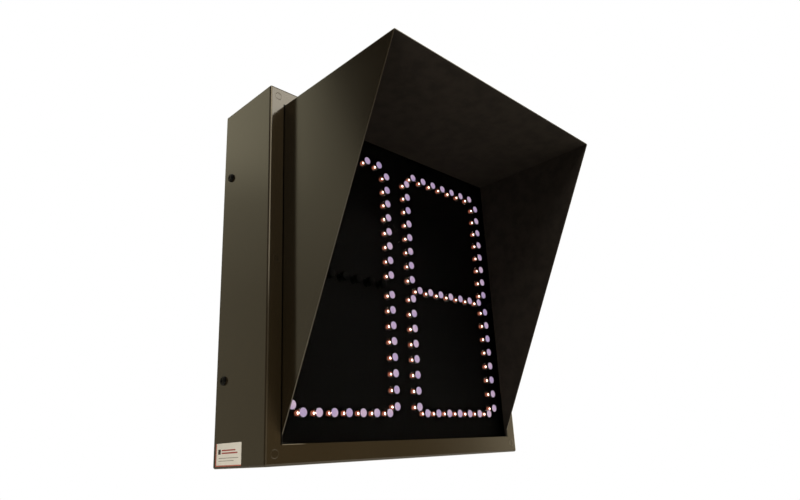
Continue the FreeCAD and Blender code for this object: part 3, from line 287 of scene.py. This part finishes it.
def paint(name, base, rough=0.14, shine=0.8, peel=0.06, visor=False, studs=False, joint=0.0):
    """Semi-gloss enamel over sheet steel, with orange peel, dust and slow colour drift.
    visor, studs and joint, which is the joint line's width, add the marks of those places: the visor's
    rougher mottled inside and its cut edge, rubbed and with a painted highlight; a painted highlight on the
    stud rings; and, with studs and joint, a painted highlight on the front bends and wear on the lower lip."""
    made, graph, shader = material(name, Specular_IOR_Level=shine)
    light = (1.05 * base[0], 1.04 * base[1], 1.03 * base[2])
    colour = graph.ramp(graph.noise(5.0, 1.0, 0.4), [(0.3, scaled(base, 0.95)), (0.7, light)])
    dust = graph.span(graph.noise(900.0, 2.0, 0.6), 0, 0.25, 0.66, 0.85)
    colour = graph.mix(dust, colour, scaled(base, 1.9))
    gloss = graph.span(graph.noise(9.0, 1.0, 0.4), rough - 0.02, rough + 0.03, 0.25, 0.75)
    normal = graph.bump(graph.noise(9.0, 0.0, 0.4), 0.25, 0.0008)
    if visor:
        inside = visor_inside(graph)
        mottle = graph.ramp(graph.noise(70.0, 4.0, 0.6), [(0.35, VISOR_DARK), (0.6, VISOR_LIGHT)])
        colour = graph.mix(inside, colour, mottle)
        # The cut edge: rubbed paint with a painted highlight.
        colour = graph.mix(cut_edge(graph, 0.75), colour, RUBBED_AND_HIGHLIGHT)
        gloss = graph.maths("ADD", gloss, graph.maths("MULTIPLY", inside, 0.45))
    if studs:
        # Painted highlight: the stud rings are lightened in colour; the bump below is the drawn ring
        # itself.
        colour = graph.mix(graph.maths("MULTIPLY", stud_marks(graph, 0.6 * MM), 0.11), colour, RUBBED_AND_HIGHLIGHT)
        normal = graph.bump(stud_marks(graph), 0.35, 0.0003, normal)
    if studs and joint:
        # A painted highlight along the front bends, and real wear on the lower lip.
        colour = graph.mix(bend_highlight(graph, 0.9), colour, BARE_AND_HIGHLIGHT)
        colour = graph.mix(rubbed_lip(graph, 0.35), colour, BARE_AND_HIGHLIGHT)
    if joint:
        line = joint_line(graph, joint)
        colour = graph.mix(line, colour, SHADOW)
        dull = graph.maths("MAXIMUM", line, inside) if visor else line
        graph.link(graph.span(dull, shine, 0.08), shader.inputs["Specular IOR Level"])
    graph.link(colour, shader.inputs["Base Color"])
    graph.link(gloss, shader.inputs["Roughness"])
    graph.link(graph.bump(graph.noise(650.0, 2.0, 0.5), peel, 0.0004, normal), shader.inputs["Normal"])
    return made


def moulded(name, base, rough=0.45, grain=0.12, spread=0.12, shine=0.5):
    """Moulded plastic or rubber: fine grain and a slight unevenness of colour and shine."""
    made, graph, shader = material(name, Specular_IOR_Level=shine)
    tone = graph.noise(45.0, 3.0, 0.6)
    shades = [(0.3, scaled(base, 1 - spread)), (0.7, scaled(base, 1 + spread))]
    graph.link(graph.ramp(tone, shades), shader.inputs["Base Color"])
    graph.link(graph.span(tone, rough - 0.06, rough + 0.08, 0.3, 0.7), shader.inputs["Roughness"])
    graph.link(graph.bump(graph.noise(1400.0, 2.0), grain, 0.0002), shader.inputs["Normal"])
    return made


def metal(name, base, rough=0.32, streak=(40, 40, 900), spangle=False):
    """Bare or plated metal with rolling streaks, or with zinc spangle."""
    made, graph, shader = material(name, Metallic=1.0)
    if spangle:
        cells = graph.add("ShaderNodeTexVoronoi")
        cells.inputs["Scale"].default_value = 95.0
        graph.link(graph.coords(), cells.inputs["Vector"])
        tone = graph.add("ShaderNodeSeparateColor")
        graph.link(cells.outputs["Color"], tone.inputs["Color"])
        tone = tone.outputs["Red"]
    else:
        tone = graph.noise(3.0, 3.0, 0.6, graph.coords(streak))
    shades = [(0.2, scaled(base, 0.84)), (0.8, scaled(base, 1.1))]
    graph.link(graph.ramp(tone, shades), shader.inputs["Base Color"])
    graph.link(graph.span(tone, rough - 0.07, rough + 0.09, 0.2, 0.8), shader.inputs["Roughness"])
    graph.link(graph.bump(tone, 0.08, 0.0002), shader.inputs["Normal"])
    return made


def printed_label(name):
    """Off-white vinyl with border lines, a small square, two red bars and two fine rules: no letters."""
    made, graph, shader = material(name, Roughness=0.42)
    low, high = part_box("side_label")
    x, y, z = graph.split(graph.coords())
    across = graph.span(y, 0, 1, high[1], low[1])
    up = graph.span(z, 0, 1, low[2], high[2])

    def patch(left, right, bottom, top):
        """A mask that is one inside a rectangle, given in parts of the label's width and height."""
        bands = [
            graph.maths("COMPARE", place, (start + end) / 2, (end - start) / 2)
            for place, start, end in ((across, left, right), (up, bottom, top))
        ]
        return graph.maths("MULTIPLY", *bands)

    tone = graph.noise(60.0, 3.0, 0.5)
    colour = graph.ramp(tone, [(0.3, (0.90, 0.87, 0.80)), (0.7, (0.95, 0.92, 0.86))])
    border, red = (0.55, 0.16, 0.12), (0.42, 0.06, 0.05)
    black, grey = (0.05, 0.035, 0.035), (0.33, 0.31, 0.28)
    marks = [
        (patch(0, 0.035, 0, 1), border),
        (patch(0, 1, 0, 0.05), border),
        (patch(0.10, 0.20, 0.52, 0.74), black),
        (patch(0.24, 0.86, 0.54, 0.60), red),
        (patch(0.24, 0.78, 0.66, 0.72), red),
        (patch(0.12, 0.90, 0.34, 0.37), grey),
        (patch(0.12, 0.72, 0.22, 0.25), grey),
    ]
    for mask, ink in marks:
        colour = graph.mix(mask, colour, ink)
    graph.link(colour, shader.inputs["Base Color"])
    graph.link(graph.bump(graph.noise(500.0, 2.0), 0.08, 0.0002), shader.inputs["Normal"])
    return made


def circuit_board(name):
    """Green solder resist with darker tracks running both ways under it."""
    made, graph, shader = material(name, Roughness=0.32, Coat_Weight=0.25)
    tracks = graph.add("ShaderNodeTexBrick", offset=0.37, squash=1.6, squash_frequency=3)
    tracks.inputs["Scale"].default_value = 50.0
    tracks.inputs["Brick Width"].default_value = 1.1
    tracks.inputs["Row Height"].default_value = 0.075
    tracks.inputs["Mortar Size"].default_value = 0.014
    tracks.inputs["Color1"].default_value = (0.010, 0.075, 0.028, 1)
    tracks.inputs["Color2"].default_value = (0.022, 0.135, 0.052, 1)
    tracks.inputs["Mortar"].default_value = (0.008, 0.060, 0.022, 1)
    graph.link(graph.coords(turn=(math.pi / 2, 0, 0)), tracks.inputs["Vector"])
    graph.link(tracks.outputs["Color"], shader.inputs["Base Color"])
    graph.link(graph.bump(tracks.outputs["Fac"], 0.25, 0.0001), shader.inputs["Normal"])
    return made


def clear(name, tint, rough, haze=90.0, ior=1.46):
    """Clear plastic that is very slightly uneven; a low ior stands for an anti-glare coat."""
    made, graph, shader = material(name, Transmission_Weight=1.0, IOR=ior)
    tone = graph.noise(haze, 3.0)
    graph.link(graph.ramp(tone, [(0.3, scaled(tint, 0.985)), (0.7, tint)]), shader.inputs["Base Color"])
    graph.link(graph.span(tone, rough, rough + 0.02, 0.4, 0.8), shader.inputs["Roughness"])
    graph.link(graph.bump(graph.noise(14.0, 1.0), 0.02, 0.0002), shader.inputs["Normal"])
    return made


def glowing(name, colour, strength, deep=None, scale=600.0, alpha=1.0):
    """A lit surface whose brightness wanders a little."""
    made, graph, shader = material(name, Roughness=0.5, Emission_Strength=strength, Alpha=alpha)
    shader.inputs["Base Color"].default_value = (0.02, 0.02, 0.02, 1)
    tone = graph.noise(scale, 2.0)
    deep = deep or scaled(colour, 0.86)
    graph.link(graph.ramp(tone, [(0.3, deep), (0.7, colour)]), shader.inputs["Emission Color"])
    return made


looks = {
    "paint": paint("bronze_paint", BRONZE, studs=True, joint=1.0 * MM),
    "stud_paint": paint("bronze_paint_studs", scaled(BRONZE, 0.9), studs=True),
    "galvanised": metal("zinc_sheet", (0.60, 0.61, 0.62), rough=0.38, spangle=True),
    "black_panel": paint("flat_black", (0.0031, 0.0031, 0.0032), rough=0.6, shine=0.03, peel=0.2),
    "window": clear("clear_window", (0.97, 0.98, 0.99), 0.0, ior=1.02),
    "gasket": moulded("foam_gasket", (0.02, 0.02, 0.02), rough=0.85, grain=0.6),
    "plated_steel": metal("zinc_plate", (0.66, 0.67, 0.66), rough=0.28),
    "spacer_nylon": moulded("natural_nylon", (0.75, 0.73, 0.66), rough=0.4),
    "brass": metal("turned_brass", (0.78, 0.60, 0.29), rough=0.24),
    "board": circuit_board("solder_resist"),
    "black_screw": paint("black_oxide", (0.004, 0.004, 0.004), rough=0.38, shine=0.22, peel=0.1),
    "connector": moulded("black_connector", (0.014, 0.014, 0.015), rough=0.42),
    "ribbon": moulded("grey_ribbon", (0.36, 0.37, 0.38), rough=0.5),
    "bushing": moulded("black_rubber", (0.014, 0.014, 0.014), rough=0.65, grain=0.3),
    "supply_metal": metal("folded_aluminium", (0.74, 0.75, 0.76), rough=0.36, streak=(900, 40, 40)),
    "terminal_black": moulded("terminal_black", (0.018, 0.018, 0.018), rough=0.4),
    "terminal_green": moulded("terminal_green", (0.02, 0.21, 0.07), rough=0.38),
    "trimmer_blue": moulded("trimmer_blue", (0.02, 0.10, 0.42), rough=0.35),
    "trimmer_white": moulded("trimmer_white", (0.80, 0.77, 0.68), rough=0.4),
    "selector_red": moulded("selector_red", (0.50, 0.025, 0.015), rough=0.36),
    "button_white": moulded("button_white", (0.82, 0.81, 0.77), rough=0.4),
    "lid_clear": clear("clear_lid", (0.92, 0.94, 0.96), 0.04),
    "lead_red": moulded("red_insulation", (0.46, 0.022, 0.014), rough=0.42),
    "lead_grey": moulded("grey_sheath", (0.24, 0.24, 0.25), rough=0.5),
    "label": printed_label("label_vinyl"),
    "lamp": clear("lamp_clear", (0.93, 0.92, 0.95), 0.03),
}
own_looks = {
    "stud_spacers": moulded("black_nylon", (0.006, 0.006, 0.006), rough=0.6, shine=0.1),
    # The visor's paint is the housing's bronze darkened to 0.7: painted shade on the hood.
    "visor_hood": paint("bronze_paint_visor_shaded", scaled(BRONZE, 0.7), shine=0.84, visor=True, joint=0.9 * MM),
}
slot_of = {row["node"]: row["material_slot"] for row in frame["record"]["subparts"]}
for node, thing in nodes.items():
    made = own_looks.get(node) or looks[slot_of[node]]
    for index in range(max(1, len(thing.material_slots))):
        if thing.material_slots:
            thing.material_slots[index].material = made
        else:
            thing.data.materials.append(made)


# ---------------------------------------------------------------- lamps

GLOWING_SEGMENTS = {"tens": "abcdef", "units": "abcdefg"}


def new_piece(name, mesh, body, slot, *stands_for):
    piece = bpy.data.objects.new(name, mesh)
    scene.collection.objects.link(piece)
    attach(piece, body)
    if stands_for:
        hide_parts(*stands_for)
    return piece


def lamp_boxes(node):
    """The low and high corners of each lamp of a segment, from the node's own loose solids."""
    mesh = nodes[node].data
    joined = bmesh.new()
    joined.from_mesh(mesh)
    bmesh.ops.remove_doubles(joined, verts=joined.verts, dist=1e-6)
    left = set(joined.verts)
    found = []
    while left:
        seed = left.pop()
        group, edge = [seed], [seed]
        while edge:
            vertex = edge.pop()
            for link in vertex.link_edges:
                other = link.other_vert(vertex)
                if other in left:
                    left.discard(other)
                    group.append(other)
                    edge.append(other)
        low = Vector(min(v.co[axis] for v in group) for axis in range(3))
        high = Vector(max(v.co[axis] for v in group) for axis in range(3))
        found.append((low, high))
    joined.free()
    return sorted(found, key=lambda pair: (pair[0].x, pair[0].z))


def ring_points(radius, forward, steps):
    return [
        (radius * math.cos(2 * math.pi * k / steps), -forward, radius * math.sin(2 * math.pi * k / steps))
        for k in range(steps)
    ]


def turned_mesh(name, outline, steps, material_of):
    """A body of revolution about the forward axis: outline holds (radius, forward) pairs."""
    made = bmesh.new()
    loops = []
    for radius, forward in outline:
        if radius < 1e-7:
            loops.append([made.verts.new((0, -forward, 0))])
        else:
            loops.append([made.verts.new(point) for point in ring_points(radius, forward, steps)])
    for row, (first, second) in enumerate(zip(loops, loops[1:])):
        for k in range(steps):
            following = (k + 1) % steps
            corners = [first[k % len(first)], first[following % len(first)],
                       second[following % len(second)], second[k % len(second)]]
            corners = list(dict.fromkeys(corners))
            face = made.faces.new(corners)
            face.smooth = True
            face.material_index = material_of(row)
    bmesh.ops.recalc_face_normals(made, faces=made.faces)
    mesh = bpy.data.meshes.new(name)
    made.to_mesh(mesh)
    made.free()
    return mesh


def repeated(name, unit, places):
    """One mesh with a copy of unit at every place."""
    made = bmesh.new()
    for place in places:
        before = len(made.verts)
        made.from_mesh(unit)
        made.verts.ensure_lookup_table()
        for vertex in made.verts[before:]:
            vertex.co += place
    mesh = bpy.data.meshes.new(name)
    made.to_mesh(mesh)
    made.free()
    for own in unit.materials:
        mesh.materials.append(own)
    return mesh


FROST = 0.72  # how opaque the frosted fronts are
barrel_look = clear("lamp_barrel", (0.96, 0.94, 0.95), 0.02)
front_lit = glowing("lamp_front_lit", (0.42, 0.31, 0.40), 1.0 / FROST, (0.28, 0.21, 0.36), 70.0, FROST)
# Unlit lamps: the near-black front and the grey-tinted barrel are painted shade; clear lamps that are off
# would show lighter.
front_unlit_shaded = moulded("lamp_front_unlit_shaded", (0.0026, 0.0026, 0.0026), rough=0.6, shine=0.04)
barrel_unlit_shaded = clear("lamp_barrel_unlit_shaded", (0.18, 0.18, 0.18), 0.02, ior=1.08)
die_lit = glowing("lamp_die_lit", (1.0, 0.80, 0.68), 9.0, (1.0, 0.74, 0.60))
cup_lit = glowing("lamp_cup_lit", (0.80, 0.22, 0.10), 0.6, (0.24, 0.03, 0.015), 900.0)
cup_dark = moulded("lamp_cup_dark", (0.003, 0.003, 0.003), rough=0.5, shine=0.05)

first_low, first_high = lamp_boxes("tens_segment_a")[0]
LAMP_TIP = -first_low.y
LAMP_FOOT = -first_high.y
FLANGE_R = (first_high.x - first_low.x) / 2
BARREL_R = FLANGE_R - 0.7 * MM
FLANGE_TOP = LAMP_FOOT + 1.5 * MM
DIE_BACK = 81.5 * MM
RIM = 0.4 * MM
BARREL_STEPS, CUP_STEPS, DIE_STEPS = 28, 20, 16


def barrel_outline():
    """Barrel and flange of one lamp, from the foot to just short of the frosted front."""
    end = LAMP_TIP - 0.05 * MM
    return [
        (0, LAMP_FOOT), (FLANGE_R, LAMP_FOOT), (FLANGE_R, FLANGE_TOP), (BARREL_R, FLANGE_TOP),
        (BARREL_R, LAMP_TIP - RIM), (BARREL_R - RIM, end), (0, end),
    ]


def front_outline():
    """The thin frosted disc on the front of one lamp."""
    back = LAMP_TIP - 0.04 * MM
    return [(0, LAMP_TIP), (BARREL_R - RIM - 0.05 * MM, LAMP_TIP), (BARREL_R - RIM, back), (0, back)]


def cup_outline():
    """The base that fills the foot of the barrel, then the hollow cup that the chip sits in."""
    base, base_r = LAMP_FOOT + 0.2 * MM, BARREL_R - 0.3 * MM
    floor = DIE_BACK - 1.3 * MM
    return [
        (0, base), (base_r, base), (base_r, LAMP_FOOT + 0.8 * MM), (1.6 * MM, LAMP_FOOT + 1.2 * MM),
        (1.8 * MM, DIE_BACK - 0.2 * MM), (1.6 * MM, DIE_BACK - 0.1 * MM), (1.0 * MM, floor), (0, floor),
    ]


def die_outline():
    """The glow of the chip, which fills the cup and bulges a little out of it."""
    return [
        (0, DIE_BACK - 1.25 * MM), (0.6 * MM, DIE_BACK - 1.0 * MM), (0.75 * MM, DIE_BACK - 0.2 * MM),
        (0.45 * MM, DIE_BACK + 0.4 * MM), (0, DIE_BACK + 0.6 * MM),
    ]


def beam(piece):
    """The light leaves as a narrow beam, so it isn't cast on the panel or the visor's sides."""
    piece.visible_diffuse = False
    piece.visible_glossy = False


def build_segment(digit, letter):
    """Clear barrels with a frosted front, and the chip in its cup inside each of them."""
    node = f"{digit}_segment_{letter}"
    lit = letter in GLOWING_SEGMENTS[digit]
    places = [Vector(((low.x + high.x) / 2, 0, (low.z + high.z) / 2)) for low, high in lamp_boxes(node)]

    def pieces(part, outline, steps, finishes, *stands_for, material_of=lambda row: 0):
        """One turned part, repeated at every lamp of the segment as one piece."""
        unit = turned_mesh(f"{node}_{part}_unit", outline, steps, material_of)
        for finish in finishes:
            unit.materials.append(finish)
        mesh = repeated(f"{node}_{part}s", unit, places)
        return new_piece(f"{node}_{part}s", mesh, "housing", "lamp", *stands_for)

    pieces("barrel", barrel_outline(), BARREL_STEPS, [barrel_look if lit else barrel_unlit_shaded], node)
    beam(pieces("front", front_outline(), BARREL_STEPS, [front_lit if lit else front_unlit_shaded]))
    inside = [cup_dark, cup_lit if lit else cup_dark]
    beam(pieces("cup", cup_outline(), CUP_STEPS, inside, material_of=lambda row: 0 if row < 3 else 1))
    if lit:
        beam(pieces("die", die_outline(), DIE_STEPS, [die_lit]))


for digit in GLOWING_SEGMENTS:
    for letter in "abcdefg":
        build_segment(digit, letter)


# ---------------------------------------------------------------- ribbons

CORES = 10
CORE_STEPS = 6
RIBBON_THICK = 0.9 * MM
WEB, SWELL = 0.30, 0.20
FOLDS, FOLD_STEPS = 2, 40


def fold_line(start, end, level, swing, folds, steps):
    """A soft concertina line from start to end, as (y, z) points, which runs straight out of both ends."""
    points = []
    for step in range(folds * steps + 1):
        part = step / (folds * steps)
        calm = min(1.0, 6.0 * part, 6.0 * (1.0 - part))
        wave = math.sin(2 * math.pi * folds * part)
        points.append((start + (end - start) * part, level + 0.96 * swing * calm * wave))
    return points


def ribbon_mesh(name, middles, width, thick, line):
    """Flat cable of round conductors side by side, swept along the line at each middle."""
    pitch = width / CORES
    section = []
    for core in range(CORES):
        for part in range(CORE_STEPS):
            turn = math.pi * part / CORE_STEPS
            across = -width / 2 + pitch * (core + 0.5 - 0.5 * math.cos(turn))
            section.append((across, thick * (WEB + SWELL * math.sin(turn))))
    section.append((width / 2, WEB * thick))
    outline = section + [(across, -height) for across, height in reversed(section)]
    made = bmesh.new()
    for middle in middles:
        rings = []
        for index, (y, z) in enumerate(line):
            before, after = line[max(index - 1, 0)], line[min(index + 1, len(line) - 1)]
            along = Vector((after[0] - before[0], after[1] - before[1])).normalized()
            rings.append([
                made.verts.new((middle + across, y - height * along.y, z + height * along.x))
                for across, height in outline
            ])
        count = len(outline)
        for first, second in zip(rings, rings[1:]):
            for k in range(count):
                following = (k + 1) % count
                face = made.faces.new((first[k], first[following], second[following], second[k]))
                face.smooth = True
        made.faces.new(rings[0])
        made.faces.new(list(reversed(rings[-1])))
    bmesh.ops.recalc_face_normals(made, faces=made.faces)
    mesh = bpy.data.meshes.new(name)
    made.to_mesh(mesh)
    made.free()
    return mesh


def build_ribbons():
    """Both ribbons as one piece, which stretches between the figures and the driver board."""
    low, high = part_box("digit_ribbons")
    right_side = [v.co.x for v in nodes["digit_ribbons"].data.vertices if v.co.x > 0]
    inner, outer = min(right_side), max(right_side)
    level, swing = (low[2] + high[2]) / 2, (high[2] - low[2]) / 2
    line = fold_line(low[1], high[1], level, swing, FOLDS, FOLD_STEPS)
    middle = (inner + outer) / 2
    mesh = ribbon_mesh("ribbon_folds", (-middle, middle), outer - inner, RIBBON_THICK, line)
    mesh.materials.append(looks["ribbon"])
    piece = bpy.data.objects.new("ribbon_folds", mesh)
    scene.collection.objects.link(piece)
    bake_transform(piece)
    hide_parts("digit_ribbons")


build_ribbons()


# ---------------------------------------------------------------- studio

SOFTBOX_PLACE, SOFTBOX_TARGET, SOFTBOX_SIZE = (1.08, -1.66, 1.22), (0, -0.1, 0), (1.35, 1.0)
STRIP_PLACE, STRIP_TARGET, STRIP_SIZE = (-0.21, -0.55, 0.55), (-0.19, -0.094, 0.12), (0.04, 0.15)
LABEL_LIGHT_PLACE, LABEL_LIGHT_TARGET = (-0.45, -0.12, -0.42), (-0.2, -0.03, -0.19)
DARK_ROOM = (0.018, 0.016, 0.014)
BACK_WALL = [
    (0.0, (0.28, 0.25, 0.17)), (0.35, (0.35, 0.31, 0.21)), (0.47, (0.49, 0.44, 0.30)),
    (0.56, (0.51, 0.46, 0.31)), (1.0, (0.46, 0.43, 0.30)),
]
BACK_WINDOW = (0.44, 0.40, 0.28)
LEFT_GLOW = (0.05, 0.045, 0.04)
FRONT_STRIP = (2.25, 2.06, 1.69)
RIGHT_GLOW = (1.90, 1.68, 1.20)
TOP_GLOW = (0.55, 0.52, 0.46)
FLOOR_LEVEL, FLOOR_RADIUS, FLOOR_STEPS = -0.62, 4, 96
EYE_PLACE = (-0.5316, -0.6059, -0.1968)
EYE_AHEAD = (0.68040, 0.66281, 0.31261)
EYE_UP = (-0.18591, -0.25650, 0.94849)


def area_light(name, place, target, size, power, colour):
    data = bpy.data.lights.new(name, "AREA")
    data.shape = "RECTANGLE"
    data.size, data.size_y = size
    data.energy = power
    data.color = colour
    lamp = bpy.data.objects.new(name, data)
    scene.collection.objects.link(lamp)
    lamp.visible_camera = False
    direction = Vector(target) - Vector(place)
    lamp.matrix_world = Matrix.Translation(place) @ direction.to_track_quat("-Z", "Y").to_matrix().to_4x4()
    return lamp


def unmirrored(*facts):
    """A light that the gloss paint doesn't mirror."""
    area_light(*facts).visible_glossy = False


def surroundings(graph):
    """What the gloss paint mirrors, as a colour for each direction: a dark room with a back wall
    that has a window in it, a strip at the front, and glows at the left, at the right and above."""
    where = graph.add("ShaderNodeTexCoord")
    x, y, z = graph.split(where.outputs["Generated"])
    aside = graph.maths("DIVIDE", x, graph.maths("MAXIMUM", y, 0.02))
    edge = graph.maths("SUBTRACT", aside, graph.maths("MULTIPLY", z, 1.1))
    behind = graph.product(
        graph.rise(edge, -1.445, -1.385),
        graph.rise(y, 0.10, 0.40),
        graph.fall(aside, -0.45, -0.20, 1.0, 0.25),
    )
    colour = graph.mix(behind, DARK_ROOM, graph.ramp(graph.span(z, 0, 1, -0.1, 0.9), BACK_WALL))
    window = graph.product(graph.rise(aside, -0.75, -0.69), graph.rise(z, 0.38, 0.46))
    colour = graph.mix(graph.product(behind, window), colour, BACK_WINDOW, "ADD")
    left = graph.product(graph.fall(aside, -1.7, -1.3), graph.rise(y, 0.0, 0.15), graph.fall(x, -0.3, -0.1))
    colour = graph.mix(left, colour, LEFT_GLOW, "ADD")
    before = graph.maths("MAXIMUM", graph.maths("MULTIPLY", y, -1.0), 0.02)
    ahead = graph.maths("DIVIDE", x, before)
    front = graph.product(
        graph.fall(ahead, 0.30, 0.38),
        graph.rise(ahead, 0.04, 0.10, 0.10, 1.0),
        graph.fall(y, -0.20, 0.10),
        graph.fall(z, 0.55, 0.70),
        graph.rise(z, 0.20, 0.30, 0.06, 1.0),
    )
    colour = graph.mix(front, colour, FRONT_STRIP, "ADD")
    colour = graph.mix(graph.rise(x, 0.74, 0.92), colour, RIGHT_GLOW, "ADD")
    return graph.mix(graph.rise(z, 0.62, 0.85), colour, TOP_GLOW, "ADD")


def studio():
    """White for the camera, the surroundings for everything else, and the lights."""
    world = bpy.data.worlds.new("studio")
    scene.world = world
    world.use_nodes = True
    graph = Graph(world.node_tree)
    backdrop = world.node_tree.nodes["Background"]
    graph.link(surroundings(graph), backdrop.inputs["Color"])
    white = graph.add("ShaderNodeBackground")
    white.inputs["Color"].default_value = (1, 1, 1, 1)
    rays = graph.add("ShaderNodeLightPath")
    choose = graph.add("ShaderNodeMixShader")
    graph.link(rays.outputs["Is Camera Ray"], choose.inputs["Fac"])
    graph.link(backdrop.outputs["Background"], choose.inputs[1])
    graph.link(white.outputs["Background"], choose.inputs[2])
    graph.link(choose.outputs["Shader"], world.node_tree.nodes["World Output"].inputs["Surface"])
    area_light("top_front", SOFTBOX_PLACE, SOFTBOX_TARGET, SOFTBOX_SIZE, 16, (1.0, 0.93, 0.78))
    unmirrored("top_front_soft", SOFTBOX_PLACE, SOFTBOX_TARGET, SOFTBOX_SIZE, 49, (1.0, 0.92, 0.76))
    unmirrored("upper_left", STRIP_PLACE, STRIP_TARGET, STRIP_SIZE, 2.4, (1.0, 0.93, 0.80))
    unmirrored("low_left", LABEL_LIGHT_PLACE, LABEL_LIGHT_TARGET, (0.12, 0.12), 0.6, (1.0, 0.95, 0.87))


def floor():
    """A round pale floor, well below the head."""
    made = bmesh.new()
    middle = made.verts.new((0, 0, FLOOR_LEVEL))
    rim = []
    for k in range(FLOOR_STEPS):
        turn = 2 * math.pi * k / FLOOR_STEPS
        place = (FLOOR_RADIUS * math.cos(turn), FLOOR_RADIUS * math.sin(turn), FLOOR_LEVEL)
        rim.append(made.verts.new(place))
    for k in range(FLOOR_STEPS):
        made.faces.new((middle, rim[k], rim[(k + 1) % FLOOR_STEPS]))
    mesh = bpy.data.meshes.new("floor")
    made.to_mesh(mesh)
    made.free()
    thing = bpy.data.objects.new("floor", mesh)
    scene.collection.objects.link(thing)
    made, graph, shader = material("floor_pale", Roughness=0.9)
    shades = [(0.3, (0.52, 0.515, 0.505)), (0.7, (0.55, 0.545, 0.535))]
    graph.link(graph.ramp(graph.noise(2.0), shades), shader.inputs["Base Color"])
    mesh.materials.append(made)


def camera():
    data = bpy.data.cameras.new("camera")
    data.lens = 27.68
    data.sensor_width = 36.0
    eye = bpy.data.objects.new("camera", data)
    scene.collection.objects.link(eye)
    ahead, up = Vector(EYE_AHEAD).normalized(), Vector(EYE_UP).normalized()
    right = ahead.cross(up).normalized()
    up = right.cross(ahead)
    turn = Matrix((right, up, -ahead)).transposed().to_4x4()
    eye.matrix_world = Matrix.Translation(EYE_PLACE) @ turn
    scene.camera = eye


camera()
studio()
floor()
